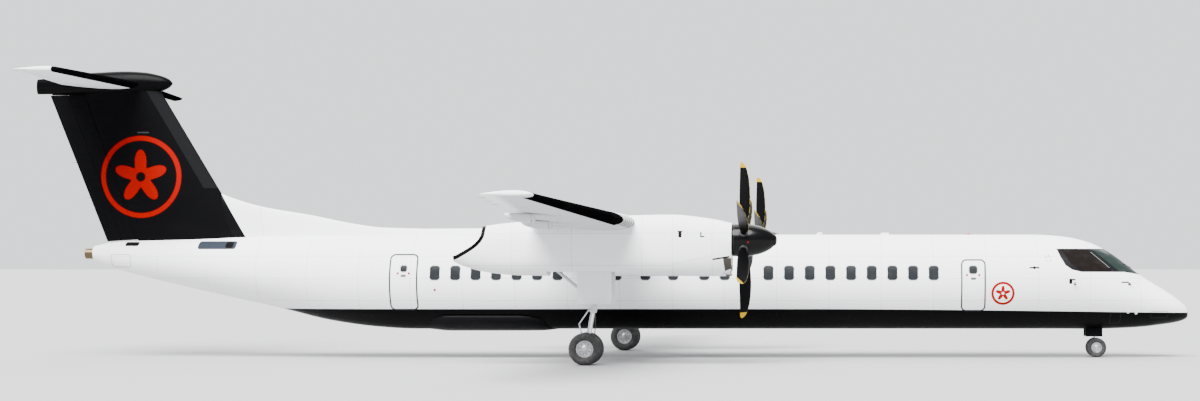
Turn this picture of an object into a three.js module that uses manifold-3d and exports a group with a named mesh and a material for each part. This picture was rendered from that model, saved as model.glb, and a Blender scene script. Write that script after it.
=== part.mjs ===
// A twin turboprop airliner with a high wing and a T-tail, standing on its gear.
// Millimetres. +X runs to the nose, +Y to the left wing, +Z up, and the floor is z = 0.
import * as THREE from 'three';
import { mergeVertices } from 'three/addons/utils/BufferGeometryUtils.js';
import Module from 'manifold-3d';

const wasm = await Module();
wasm.setup();

// Driving dimensions
const LENGTH = 32830;
const NOSE_X = LENGTH / 2;
const CENTRE_Z = 2150; // the fuselage's centre line above the floor
const CABIN_RADIUS = 1345;
const HALF_SPAN = 14210;
const NACELLE_Y = 4400; // propeller, engine and main gear, each side
const HUB_Z = CENTRE_Z + 1130;
const PROP_X = 4000; // plane of the blade roots
const PROP_RADIUS = 2055;
const BLADES = 6;
const PROP_PHASE = 4; // degrees from upright, towards the right wing
const WING_Z = CENTRE_Z + 1560;
const DIHEDRAL = 2.5;
const TAILPLANE_Z = CENTRE_Z + 5610;
const MAIN_AXLE_X = -150;
const NOSE_AXLE_X = MAIN_AXLE_X + 13940;
const GAP = 0.3; // between pieces that rest on each other
const RUNNING_GAP = 8; // between a moving piece and what it moves past

// Finishes: colour, roughness, metalness
const FINISHES = {
  white: ['#eceef0', 0.35, 0],
  black: ['#141416', 0.4, 0],
  charcoal: ['#232427', 0.45, 0],
  grey: ['#c9ccce', 0.45, 0],
  boot: ['#18181a', 0.7, 0],
  glass: ['#20262a', 0.1, 0],
  metal: ['#9a9c9e', 0.35, 0.9],
  bronze: ['#7b6a4c', 0.4, 0.9],
  steel: ['#b4b8bb', 0.3, 0.8],
  rubber: ['#1b1b1c', 0.85, 0],
  interior: ['#4b4e52', 0.8, 0],
  engine: ['#6d6f72', 0.6, 0.4],
};

const part = new THREE.Group();
const rad = THREE.MathUtils.degToRad;
const point = (x, y, z) => new THREE.Vector3(x, y, z);

// Solids from closed geometries

function solidOf(vertices, triangles) {
  const build = (list) =>
    new wasm.Manifold(
      new wasm.Mesh({ numProp: 3, vertProperties: vertices, triVerts: new Uint32Array(list) }),
    );
  const made = build(triangles);
  if (made.volume() > 0) return made;
  const turned = [];
  for (let i = 0; i < triangles.length; i += 3)
    turned.push(triangles[i], triangles[i + 2], triangles[i + 1]);
  return build(turned);
}

function solid(geometry) {
  const bare = new THREE.BufferGeometry();
  const source = geometry.index ? geometry.toNonIndexed() : geometry;
  bare.setAttribute('position', source.getAttribute('position'));
  const merged = mergeVertices(bare, 1e-3);
  const index = merged.index.array;
  const triangles = [];
  for (let i = 0; i < index.length; i += 3) {
    const [a, b, c] = [index[i], index[i + 1], index[i + 2]];
    if (a !== b && b !== c && c !== a) triangles.push(a, b, c);
  }
  return solidOf(new Float32Array(merged.attributes.position.array), triangles);
}

// A body through rings of equally many points, closed by a fan at each end.
function loft(rings) {
  const count = rings[0].length;
  const points = rings.flat();
  const index = [];
  for (let i = 0; i < rings.length - 1; i++)
    for (let j = 0; j < count; j++) {
      const a = i * count + j;
      const b = i * count + ((j + 1) % count);
      index.push(a, b, b + count, a, b + count, a + count);
    }
  for (const end of [0, rings.length - 1]) {
    const centre = point(0, 0, 0);
    for (const p of rings[end]) centre.addScaledVector(p, 1 / count);
    points.push(centre);
    for (let j = 0; j < count; j++) {
      const a = end * count + j;
      const b = end * count + ((j + 1) % count);
      if (end === 0) index.push(points.length - 1, b, a);
      else index.push(points.length - 1, a, b);
    }
  }
  const geometry = new THREE.BufferGeometry().setFromPoints(points);
  geometry.setIndex(index);
  return solid(geometry);
}

// A prism of an outline in the side view (x, z), from one y to another.
function sidePrism(outline, fromY, toY) {
  const shape = new THREE.Shape(outline.map(([x, z]) => new THREE.Vector2(x, z)));
  const geometry = new THREE.ExtrudeGeometry(shape, { depth: toY - fromY, bevelEnabled: false });
  geometry.rotateX(Math.PI / 2);
  geometry.translate(0, toY, 0);
  return solid(geometry);
}

function box(x0, x1, y0, y1, z0, z1) {
  const geometry = new THREE.BoxGeometry(x1 - x0, y1 - y0, z1 - z0);
  geometry.translate((x0 + x1) / 2, (y0 + y1) / 2, (z0 + z1) / 2);
  return solid(geometry);
}

// A rod or cone between two points.
function rod(from, to, r0, r1 = r0, sides = 12) {
  const geometry = new THREE.CylinderGeometry(r1, r0, from.distanceTo(to), sides);
  const along = to.clone().sub(from).normalize();
  geometry.applyQuaternion(new THREE.Quaternion().setFromUnitVectors(point(0, 1, 0), along));
  const middle = from.clone().add(to).multiplyScalar(0.5);
  geometry.translate(middle.x, middle.y, middle.z);
  return solid(geometry);
}

// A body of revolution about the Y or X axis through the origin, from (radius, along) pairs.
function turned(profile, axis, sides) {
  const geometry = new THREE.LatheGeometry(
    profile.map(([radius, along]) => new THREE.Vector2(radius, along)),
    sides,
  );
  geometry.rotateY(Math.PI / sides);
  if (axis === 'x') geometry.rotateZ(-Math.PI / 2);
  return solid(geometry);
}

// Radius of a many-sided bore that a pin with as many sides turns in.
const bore = (radius, sides) => (radius + GAP) / Math.cos(Math.PI / sides);
const join = (...solids) => solids.reduce((a, b) => a.add(b));
const cut = (body, ...tools) => tools.reduce((a, b) => a.subtract(b), body);

// A solid moved, turned or mirrored by a matrix.
function placed(body, matrix) {
  const mesh = body.getMesh();
  const geometry = new THREE.BufferGeometry();
  const vertices = Float32Array.from(mesh.vertProperties);
  geometry.setAttribute('position', new THREE.BufferAttribute(vertices, 3));
  geometry.applyMatrix4(matrix);
  return solidOf(geometry.attributes.position.array, Array.from(mesh.triVerts));
}
const mirrored = (body) => placed(body, new THREE.Matrix4().makeScale(1, -1, 1));
const moved = (body, x, y, z) => placed(body, new THREE.Matrix4().makeTranslation(x, y, z));
const spun = (body, turn) => placed(body, new THREE.Matrix4().makeRotationX(turn));

function add(name, body, finish, parent = part) {
  const mesh = body.getMesh();
  const geometry = new THREE.BufferGeometry();
  geometry.setAttribute('position', new THREE.BufferAttribute(mesh.vertProperties, 3));
  geometry.setIndex(new THREE.BufferAttribute(mesh.triVerts, 1));
  const [color, roughness, metalness] = FINISHES[finish];
  const material = new THREE.MeshStandardMaterial({ color, roughness, metalness });
  material.flatShading = true;
  const piece = new THREE.Mesh(geometry, material);
  piece.name = name;
  parent.add(piece);
  return piece;
}

function addPair(name, left, finish) {
  add(`${name}_left`, left, finish);
  add(`${name}_right`, mirrored(left), finish);
}

// Rows of a short table turned into a ring of a body that runs along X.
// Row: x, top, bottom, half width, height of the widest line, roundness (2 is an ellipse).
function bodyRing([x, top, bottom, half, widest, roundness = 2], inset, sides) {
  const ring = [];
  for (let i = 0; i < sides; i++) {
    const turn = ((i + 0.5) / sides) * 2 * Math.PI;
    const c = Math.cos(turn);
    const s = Math.sin(turn);
    const reach = (s > 0 ? top - widest : widest - bottom) - inset;
    const y = Math.sign(c) * Math.abs(c) ** (2 / roundness) * (half - inset);
    const z = widest + Math.sign(s) * Math.abs(s) ** (2 / roundness) * reach;
    ring.push(point(x, y, z + CENTRE_Z));
  }
  return ring;
}

// Fuselage sections, heights from the centre line
// Row: x, top, bottom, half width, height of the widest line
const FUSELAGE_SIDES = 24;
const LINER_SIDES = 12;
const FUSELAGE_ROWS = [
  [NOSE_X, -880, -970, 55, -925],
  [NOSE_X - 173, -600, -1111, 330, -850],
  [NOSE_X - 450, -385, -1180, 545, -770],
  [NOSE_X - 795, -168, -1228, 720, -680],
  [NOSE_X - 1381, 197, -1296, 910, -520],
  [NOSE_X - 2394, 922, -1342, 1155, -240],
  [NOSE_X - 2880, 1139, -1350, 1240, -130],
  [NOSE_X - 3594, 1291, -1345, 1315, -40],
  [NOSE_X - 4500, CABIN_RADIUS, -CABIN_RADIUS, CABIN_RADIUS, 0],
  [-5600, CABIN_RADIUS, -CABIN_RADIUS, CABIN_RADIUS, 0],
  [-6580, 1335, -1294, 1335, 10],
  [-7944, 1320, -1114, 1285, 90],
  [-9452, 1300, -748, 1130, 250],
  [-11222, 1259, -354, 880, 430],
  [-13424, 1182, 160, 500, 660],
  [-14226, 1131, 377, 350, 750],
  [-14780, 1017, 588, 205, 805],
];
const fuselageBody = (inset = 0) =>
  loft(FUSELAGE_ROWS.map((row) => bodyRing(row, inset, FUSELAGE_SIDES)));

// Cockpit glazing, outlines in the side view, heights from the centre line
const SIDE_PANE = [[12700, 900], [12960, 512], [13240, 305], [14160, 300], [13460, 900]];
const WINDSHIELD = [
  [13580, 920], [14330, 300], [15034, 197], [15090, 280], [14750, 610], [14030, 925],
];
const PANE_THICKNESS = 25;
const WINDSHIELD_POST = 45;
const COCKPIT = { rear: 12300, front: 15100, floor: -430, wall: 90 };

// An outline moved inwards by a distance, for convex outlines that run anticlockwise.
function inset(outline, distance) {
  const edges = outline.map((p, i) => {
    const q = outline[(i + 1) % outline.length];
    const [dx, dz] = [q[0] - p[0], q[1] - p[1]];
    const long = Math.hypot(dx, dz);
    return { x: p[0] - (dz / long) * distance, z: p[1] + (dx / long) * distance, dx, dz };
  });
  return edges.map((b, i) => {
    const a = edges[(i + edges.length - 1) % edges.length];
    const t = ((b.x - a.x) * b.dz - (b.z - a.z) * b.dx) / (a.dx * b.dz - a.dz * b.dx);
    return [a.x + a.dx * t, a.z + a.dz * t];
  });
}

const raised = (outline) => outline.map(([x, z]) => [x, z + CENTRE_Z]);

// A rectangle with cut corners in the side view, from its lower rear corner.
function panel(x0, x1, z0, z1, corner) {
  return [
    [x0 + corner, z0], [x1 - corner, z0], [x1, z0 + corner], [x1, z1 - corner],
    [x1 - corner, z1], [x0 + corner, z1], [x0, z1 - corner], [x0, z0 + corner],
  ];
}

// Fuselage, doors, glazing

// Doors, outlines in the side view from the centre line; side is +1 on the left
// Row: x0, x1, z0, z1, side
const DOORS = {
  airstair_door: [10250, 11010, -860, 790, 1],
  exit_door_front: [9890, 10540, -802, 617, -1],
  passenger_door_rear: [-6055, -5300, -802, 765, 1],
  service_door_rear: [-6055, -5300, -772, 765, -1],
  baggage_door: [-8350, -7080, -420, 700, 1],
};
const DOOR_THICKNESS = 140;
const DOOR_CORNER = 130;
const AIRSTAIR_HINGE = { y: 1060, z: CENTRE_Z - 885 };
const STAIR_GAP = 12; // the airstair's inner top edge rises 7 mm as it starts to turn

// Jacking pads: round bosses with a flat lower face, one under the nose and one under each nacelle
const NOSE_JACK = { x: 12900, face: -1359 };
const NACELLE_JACK = { x: 1100, face: 176 };
const jackPad = (x, y, z) => rod(point(x, y, z), point(x, y, z + 70), 62, 62, 16);

const NOSE_BAY = { x0: NOSE_AXLE_X - 350, x1: NOSE_AXLE_X + 170, half: 220, roof: -800 };
const TAIL_PIPE = { x: -14700, radius: 150, wall: 14, z: CENTRE_Z + 800, length: 330 };

const outerSkin = fuselageBody();
const seatSkin = fuselageBody(-GAP);
const innerRows = (depth) => FUSELAGE_ROWS.filter((row) => row[3] > depth + 60);
const innerBody = (depth, sides = FUSELAGE_SIDES) =>
  loft(innerRows(depth).map((row) => bodyRing(row, depth, sides)));

const doorPrism = ([x0, x1, z0, z1, side], grow) => {
  const outline = raised(panel(x0 - grow, x1 + grow, z0 - grow, z1 + grow, DOOR_CORNER));
  return side > 0 ? sidePrism(outline, 300, 1600) : sidePrism(outline, -1600, -300);
};

// Airstair hinge: knuckles on the door's sill and lugs on the fuselage, just outside the skin
const hingeAt = (x) => point(x, AIRSTAIR_HINGE.y, AIRSTAIR_HINGE.z);
const sillRod = (x, y, z, radius) =>
  rod(hingeAt(x), point(x, y, CENTRE_Z + z), radius, radius, 8);
const KNUCKLE_X = [10390, 10870];
const stairPin = (x, radius) => rod(hingeAt(x - 40), hingeAt(x + 62), radius, radius, 10);
const stairKnuckles = KNUCKLE_X.flatMap((x) => [
  rod(hingeAt(x - 26), hingeAt(x + 26), 14, 14, 8), sillRod(x, 1000, -812, 8), stairPin(x, 7),
]);
const stairLugs = KNUCKLE_X.map((x) => cut(
  join(rod(hingeAt(x + 38), hingeAt(x + 58), 15, 15, 8), sillRod(x + 48, 930, -930, 10)),
  stairPin(x, bore(7, 10)),
));

const doorLiner = innerBody(DOOR_THICKNESS, LINER_SIDES);
const recessLiner = innerBody(DOOR_THICKNESS + GAP, LINER_SIDES);
// The airstair's sill slopes along the line from the hull's axis to the hinge, so that its inner
// corner moves clear of the hull.
const stairSill = (() => {
  const [x0, x1] = DOORS.airstair_door;
  const slope = Math.atan2(AIRSTAIR_HINGE.z - CENTRE_Z, AIRSTAIR_HINGE.y);
  return moved(spun(box(x0 - 20, x1 + 20, 0, 1600, -400, 0), slope), 0, 0, CENTRE_Z);
})();
for (const [name, row] of Object.entries(DOORS)) {
  const leaf = cut(outerSkin.intersect(doorPrism(row, 0)), doorLiner);
  const stair = name === 'airstair_door';
  add(name, stair ? join(cut(leaf, stairSill), ...stairKnuckles) : leaf, 'white');
}

const glazed = (outline, side, edge, from) =>
  side > 0
    ? sidePrism(raised(inset(outline, edge)), from + edge, 1600)
    : sidePrism(raised(inset(outline, edge)), -1600, -from - edge);

const paneLiner = innerBody(PANE_THICKNESS);
for (const [side, word] of [[1, 'left'], [-1, 'right']]) {
  const front = outerSkin.intersect(glazed(WINDSHIELD, side, GAP, WINDSHIELD_POST));
  const flank = outerSkin.intersect(glazed(SIDE_PANE, side, GAP, 300));
  add(`windshield_${word}`, cut(front, paneLiner), 'glass');
  add(`side_pane_${word}`, cut(flank, paneLiner), 'glass');
}

const cockpitRoom = innerBody(COCKPIT.wall, LINER_SIDES).intersect(
  box(COCKPIT.rear, COCKPIT.front, -1300, 1300, CENTRE_Z + COCKPIT.floor, CENTRE_Z + 1250),
);
const noseBay = box(
  NOSE_BAY.x0, NOSE_BAY.x1, -NOSE_BAY.half, NOSE_BAY.half,
  CENTRE_Z - 1400, CENTRE_Z + NOSE_BAY.roof,
);
const pipeTurned = (profile) => moved(turned(profile, 'x', 24), TAIL_PIPE.x, 0, TAIL_PIPE.z);
const pipeSocket = pipeTurned([
  [0, GAP], [TAIL_PIPE.radius + GAP, GAP], [TAIL_PIPE.radius + GAP, -600], [0, -600],
]);
const doorRecesses = Object.entries(DOORS).map(([name, row]) =>
  cut(doorPrism(row, name === 'airstair_door' ? STAIR_GAP : GAP), recessLiner),
);
const glassOpenings = [1, -1].flatMap((side) => [
  glazed(WINDSHIELD, side, 0, WINDSHIELD_POST),
  glazed(SIDE_PANE, side, 0, 300),
]);
const fuselage = join(
  cut(outerSkin, cockpitRoom, noseBay, pipeSocket, ...doorRecesses, ...glassOpenings),
  ...stairLugs,
  jackPad(NOSE_JACK.x, 0, CENTRE_Z + NOSE_JACK.face),
);

const pipeWall = TAIL_PIPE.radius - TAIL_PIPE.wall;
add('tail_pipe', pipeTurned([
  [0, 0], [TAIL_PIPE.radius, 0], [TAIL_PIPE.radius, -TAIL_PIPE.length],
  [pipeWall, -TAIL_PIPE.length], [pipeWall, -20], [0, -20],
]), 'bronze');

// Flight deck: floor, instrument panel with its hood, pedestal and two seats on rails
const FLOOR = CENTRE_Z + COCKPIT.floor;
const deckPlate = box(12350, 14600, -620, 620, FLOOR, FLOOR + 30);
const dashboard = box(14050, 14180, -800, 800, FLOOR, CENTRE_Z + 190);
const hood = box(13980, 14420, -760, 760, CENTRE_Z + 190, CENTRE_Z + 225);
const pedestal = box(13150, 14060, -130, 130, FLOOR, CENTRE_Z - 90);
const seats = [1, -1].map((side) => {
  const y = side * 430;
  return join(
    box(12830, 13200, y - 140, y + 140, FLOOR + 20, CENTRE_Z - 120),
    box(12760, 13300, y - 220, y + 220, CENTRE_Z - 130, CENTRE_Z - 20),
    box(12650, 12790, y - 220, y + 220, CENTRE_Z - 130, CENTRE_Z + 480),
  );
});
const deckRoom = innerBody(COCKPIT.wall + GAP, LINER_SIDES).intersect(
  box(
    COCKPIT.rear + GAP, COCKPIT.front, -1300, 1300, FLOOR + GAP, CENTRE_Z + 1250,
  ),
);
const deck = join(deckPlate, dashboard, hood, pedestal, ...seats);
add('flight_deck', deck.intersect(deckRoom), 'interior');

// Belly fairing under the wing, a shallow pan on the fuselage
// Row: x, top, bottom, half width, height of the widest line
const BELLY_ROWS = [
  [-1560, -1080, -1352, 300, -1200],
  [-2000, -820, -1395, 900, -1050],
  [-2600, -760, -1400, 1000, -1000],
  [-4600, -760, -1400, 1000, -1000],
  [-5150, -900, -1352, 700, -1100],
];
const belly = loft(BELLY_ROWS.map((row) => bodyRing(row, 0, 20)));
add('belly_fairing', cut(belly, seatSkin), 'black');

// Wing

// Stations on the chord, as shares from the leading edge
const STATIONS = [1, 0.72, 0.5, 0.3, 0.13, 0.045, 0.01, 0];
const halfDepth = (share, ratio) =>
  5 * ratio *
  (0.2969 * Math.sqrt(share) - 0.126 * share - 0.3516 * share ** 2 +
    0.2843 * share ** 3 - 0.1015 * share ** 4);

// A wing section: leading edge, chord, depth ratio, camber, and the way its depth points.
function wingRing(lead, chord, ratio, camber, up, grow = 0) {
  const at = (share, side) => {
    const depth = halfDepth(share, ratio) * chord + grow;
    const rise = camber * 4 * share * (1 - share) * chord;
    const back = share === 0 ? grow : share === 1 ? -grow : 0;
    return lead.clone().add(point(back - share * chord, 0, 0))
      .addScaledVector(up, rise + side * depth);
  };
  const upper = STATIONS.map((share) => at(share, 1));
  upper[STATIONS.length - 1] = lead.clone().add(point(grow, 0, 0));
  const lower = STATIONS.slice(0, -1).reverse().map((share) => at(share, -1));
  return [...upper, ...lower];
}

const UP = point(0, 0, 1);
const SIDE = point(0, 1, 0);
const WING = {
  leadRoot: 1250, chordRoot: 2800, ratioRoot: 0.18, leadTip: 0, chordTip: 1090, ratioTip: 0.13,
  camber: 0.015, breakY: 10400, tipY: HALF_SPAN - 60,
};
const tipRise = Math.tan(rad(DIHEDRAL));
const share = (y) => Math.max(0, (y - NACELLE_Y) / (HALF_SPAN - NACELLE_Y));
const mix = (a, b, t) => a + (b - a) * t;
const wingChord = (y) => mix(WING.chordRoot, WING.chordTip, share(y));
const wingLead = (y) => mix(WING.leadRoot, WING.leadTip, share(y));
const wingRatio = (y) => mix(WING.ratioRoot, WING.ratioTip, share(y));
const wingHeight = (y) => WING_Z + Math.max(0, y - NACELLE_Y) * tipRise;
const wingSection = (y, grow = 0) =>
  wingRing(
    point(wingLead(y), y, wingHeight(y)), wingChord(y), wingRatio(y), WING.camber, UP, grow,
  );
const tipCap = wingRing(
  point(wingLead(HALF_SPAN) - 160, HALF_SPAN, wingHeight(HALF_SPAN) + 10),
  wingChord(HALF_SPAN) - 200, 0.05, 0, UP,
);

const FLAP_X = -775; // front of the flaps
const AILERON_X = -830; // hinge line of the ailerons
const CUT = { back: -2500, low: CENTRE_Z + 1000, high: CENTRE_Z + 2600 };
const INNER_FLAP = { y0: 1480, y1: 3770 };
const OUTER_FLAP = { y0: 5060, y1: 10370 };
const AILERON = { y0: 10460, y1: 13880 };
const FLAP_DROP = 265; // flap pivots under the wing's chord line
const KNUCKLE = 28;
const behind = (x, y0, y1, grow) =>
  box(CUT.back, x + grow, y0 - grow, y1 + grow, CUT.low, CUT.high);

// Where a hinge line meets the section: a point on the mean line and the half depth there.
function onWing(x, y) {
  const along = (wingLead(y) - x) / wingChord(y);
  const rise = WING.camber * 4 * along * (1 - along) * wingChord(y);
  return {
    at: point(x, y, wingHeight(y) + rise),
    half: halfDepth(along, wingRatio(y)) * wingChord(y),
  };
}

const centreWing = loft([-NACELLE_Y + GAP, NACELLE_Y - GAP].map((y) =>
  wingRing(point(WING.leadRoot, y, WING_Z), WING.chordRoot, WING.ratioRoot, WING.camber, UP)));
const outerWing = loft([
  ...[NACELLE_Y, WING.breakY, WING.tipY].map((y) => wingSection(y)), tipCap,
]);

// Flap-track fairings under the outer wing
// Row: y, front x, rear x
const TRACK_ROWS = [[6700, 380, -1480], [9300, -60, -1420]];
function trackFairing([y, front, rear]) {
  const low = wingHeight(y) - FLAP_DROP - KNUCKLE;
  const deep = (x) => (x > FLAP_X ? (front - x) / (front - FLAP_X) : (x - rear) / (FLAP_X - rear));
  const rings = [front, mix(front, FLAP_X, 0.4), FLAP_X + 60, FLAP_X - 120, mix(FLAP_X, rear, 0.7), rear]
    .map((x) => {
      const fullness = Math.max(0.12, Math.min(1, deep(x) * 1.25));
      const top = wingHeight(y) - 60;
      const bottom = mix(top - 30, low, fullness);
      return bodyRing(
        [x, top - CENTRE_Z, bottom - CENTRE_Z, 95 * Math.sqrt(fullness), top - 60 - CENTRE_Z], 0, 8,
      ).map((p) => p.setY(p.y + y));
    });
  return loft(rings);
}
const tracks = TRACK_ROWS.map(trackFairing);
const pivot = (y) => point(FLAP_X, y, wingHeight(y) - FLAP_DROP);
const knuckle = (y, radius, half) =>
  rod(pivot(y - half), pivot(y + half), radius, radius, 16);

const outerFlapRegion = behind(FLAP_X, OUTER_FLAP.y0, OUTER_FLAP.y1, 0);
const outerFlap = join(
  join(outerWing, ...tracks).intersect(outerFlapRegion),
  ...TRACK_ROWS.map(([y]) => knuckle(y, KNUCKLE, 80)),
);
addPair('flap_outer', outerFlap, 'white');
const innerFlapBody = centreWing.intersect(behind(FLAP_X, INNER_FLAP.y0, INNER_FLAP.y1, 0));
const flapArm = sidePrism(
  [
    [FLAP_X - 160, WING_Z - 40], [FLAP_X - 12, WING_Z - 40], [FLAP_X + KNUCKLE, WING_Z - FLAP_DROP],
    [FLAP_X, WING_Z - FLAP_DROP - KNUCKLE], [FLAP_X - 60, WING_Z - FLAP_DROP - 10],
  ].reverse(),
  INNER_FLAP.y1 - 30, INNER_FLAP.y1,
);
const FLAP_PIN = { radius: 18, start: INNER_FLAP.y1 - 10, end: NACELLE_Y - 500, sides: 16 };
const flapPinTo = (end, radius) =>
  rod(pivot(FLAP_PIN.start), pivot(end), radius, radius, FLAP_PIN.sides);
const flapPin = flapPinTo(FLAP_PIN.end, FLAP_PIN.radius);
addPair('flap_inner', join(innerFlapBody, flapArm, flapPin), 'white');

// A surface with a round nose on its hinge line, the hollow that it turns in, and the lugs
// that carry its pins. Each lug reaches from the fixed piece, in the given direction, to the pin.
const LUG = { radius: 14, pin: 7, half: 26, places: [0.14, 0.86] };
function hinge(from, to, half0, half1, forward, more = 0) {
  const span = from.distanceTo(to);
  const along = to.clone().sub(from).normalize();
  const at = (distance) => from.clone().addScaledVector(along, distance);
  const cone = (start, end, grow) => {
    const size = (s) => mix(half0, half1, s / span) + grow;
    return rod(at(start), at(end), size(start), size(end), 12);
  };
  const stops = LUG.places.map((place) => place * span);
  const pin = (s, radius, more = 0) =>
    rod(at(s - LUG.half - more), at(s + LUG.half + more), radius, radius, 10);
  return {
    moving: (body, region) => {
      const nose = cone(0, span, -0.06 * Math.min(half0, half1)).intersect(body);
      const notches = stops.map((s) => cone(s - LUG.half, s + LUG.half, 1));
      return join(cut(join(body.intersect(region), nose), ...notches),
        ...stops.map((s) => pin(s, LUG.pin, 5)));
    },
    hollow: cone(-RUNNING_GAP - 6 - more, span + RUNNING_GAP + 6 + more, RUNNING_GAP),
    lugs: stops.map((s) => {
      const reach = mix(half0, half1, s / span) + RUNNING_GAP + 22;
      const end = at(s).addScaledVector(forward, reach);
      const start = at(s).addScaledVector(forward, -LUG.radius);
      return cut(rod(start, end, LUG.radius, LUG.radius, 6), pin(s, bore(LUG.pin, 10)));
    }),
  };
}
const FORWARD = point(1, 0, 0);

const aileronIn = onWing(AILERON_X, AILERON.y0);
const aileronOut = onWing(AILERON_X, AILERON.y1);
const aileronHinge = hinge(
  aileronIn.at, aileronOut.at, aileronIn.half, aileronOut.half, FORWARD,
);
addPair(
  'aileron',
  aileronHinge.moving(outerWing, behind(AILERON_X, AILERON.y0, AILERON.y1, 0)),
  'white',
);

// Spoilers on the upper skin, ahead of the outer flaps
const SPOILER = { x0: -690, x1: -330, y0: 5350, y1: 9950, thick: 34 };
const spoilerRegion = (grow, drop) =>
  cut(
    box(SPOILER.x0 - grow, SPOILER.x1 + grow, SPOILER.y0 - grow, SPOILER.y1 + grow,
      CUT.low, CUT.high),
    moved(outerWing, 0, 0, -SPOILER.thick - drop),
  );
const spoilerEdge = (y) => {
  const { at, half } = onWing(SPOILER.x1 - 10, y);
  return at.add(point(0, 0, half - 10));
};
const spoilerPin = (radius, reach) =>
  rod(spoilerEdge(SPOILER.y0 - reach), spoilerEdge(SPOILER.y1 + reach), radius, radius, 12);
addPair('spoiler', join(outerWing.intersect(spoilerRegion(0, 0)), spoilerPin(6, 34)), 'white');

const outerWingFixed = join(
  cut(
    join(outerWing, ...tracks),
    behind(FLAP_X, OUTER_FLAP.y0, OUTER_FLAP.y1, RUNNING_GAP),
    ...TRACK_ROWS.map(([y]) => knuckle(y, bore(KNUCKLE, 16), 120)),
    behind(AILERON_X, AILERON.y0, AILERON.y1, RUNNING_GAP + 6),
    aileronHinge.hollow,
    spoilerRegion(RUNNING_GAP, RUNNING_GAP),
    spoilerPin(bore(6, 12), 34 + GAP),
  ),
  ...aileronHinge.lugs,
);
addPair('wing_outer', outerWingFixed, 'white');

const innerFlapCut = behind(FLAP_X, INNER_FLAP.y0, INNER_FLAP.y1 + 60, RUNNING_GAP);
const wingCentre = cut(centreWing, innerFlapCut, mirrored(innerFlapCut), seatSkin);
add('wing_centre', wingCentre, 'white');

// Wing-root fairing and spine on the fuselage, around the wing's middle
// Row: x, top, bottom, half width, height of the widest line
const ROOT_ROWS = [
  [2900, 1352, 1180, 120, 1250],
  [2300, 1500, 1000, 640, 1180],
  [1500, 1700, 900, 900, 1180],
  [400, 1740, 900, 980, 1180],
  [-1000, 1690, 900, 960, 1180],
  [-2200, 1590, 980, 760, 1200],
  [-3400, 1525, 1080, 420, 1250],
  [-5500, 1510, 1150, 190, 1290],
];
const seatWing = loft([-2000, 2000].map((y) => wingRing(
  point(WING.leadRoot, y, WING_Z), WING.chordRoot, WING.ratioRoot, WING.camber, UP, GAP)));
const rootFairing = loft(ROOT_ROWS.map((row) => bodyRing(row, 0, 20)));
add('wing_root_fairing', cut(rootFairing, seatWing, seatSkin), 'white');

// Fin and its rudders: lines in the side view, heights from the centre line
const FIN = { low: 1050, high: 5450, ratio: 0.125 };
const slanted = ([x0, z0], [x1, z1]) => (z) => x0 + ((z - z0) / (z1 - z0)) * (x1 - x0);
const finLead = slanted([-10451, 1311], [-12887, 5408]);
const finTrail = slanted([-14403, 1094], [-16048, 5291]);
const rudderLine = slanted([-13575, 1274], [-15066, 5360]);
const trailingLine = slanted([-14030, 1274], [-15515, 5243]);
const finRing = (z, grow = 0) =>
  wingRing(
    point(finLead(z), 0, z + CENTRE_Z), finLead(z) - finTrail(z), FIN.ratio, 0, SIDE, grow,
  );
const finBody = loft([finRing(FIN.low), finRing(FIN.high)]);
const finSeat = loft([finRing(FIN.low, GAP), finRing(FIN.high, GAP)]);
const finHalf = (x, z) => {
  const chord = finLead(z) - finTrail(z);
  return halfDepth((finLead(z) - x) / chord, FIN.ratio) * chord;
};
const RUDDER = { foot: 1235, top: 5300, aft: -17000, rake: 80 };
const finHinge = (line) => {
  const at = (z) => point(line(z), 0, z + CENTRE_Z);
  const [low, high] = [at(RUDDER.foot), at(RUDDER.top)];
  const forward = high.clone().sub(low).normalize().cross(SIDE).negate();
  if (forward.x < 0) forward.negate();
  return hinge(
    low, high, finHalf(low.x, RUDDER.foot), finHalf(high.x, RUDDER.top), forward,
    RUDDER.rake,
  );
};
// The part of the fin between two slanting lines, with the rudder's own foot and top.
const finRegion = (front, back, grow) =>
  sidePrism(
    raised([
      [front(RUDDER.foot - 400) + grow, RUDDER.foot - 400],
      [front(RUDDER.top + 600) + grow, RUDDER.top + 600],
      [back(RUDDER.top + 600), RUDDER.top + 600],
      [back(RUDDER.foot - 400), RUDDER.foot - 400],
    ]),
    -500, 500,
  );
const rudderEnds = sidePrism(
  raised([[-13300, 1218], [-13300, RUDDER.top + 10], [-17000, RUDDER.top + 10], [-17000, 985]]),
  -500, 500,
);
const aftEnd = () => RUDDER.aft;
const rudderHinge = finHinge(rudderLine);
const trailingHinge = finHinge(trailingLine);
const rudderBody = finBody.intersect(rudderEnds);
const foreRudder = join(
  cut(
    rudderHinge.moving(rudderBody, finRegion(rudderLine, trailingLine, 0)),
    finRegion(trailingLine, aftEnd, RUNNING_GAP + 6),
    trailingHinge.hollow,
  ),
  ...trailingHinge.lugs,
);
add('rudder_fore', foreRudder, 'charcoal');
add(
  'rudder_trailing',
  trailingHinge.moving(rudderBody, finRegion(trailingLine, aftEnd, 0)),
  'charcoal',
);

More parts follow.
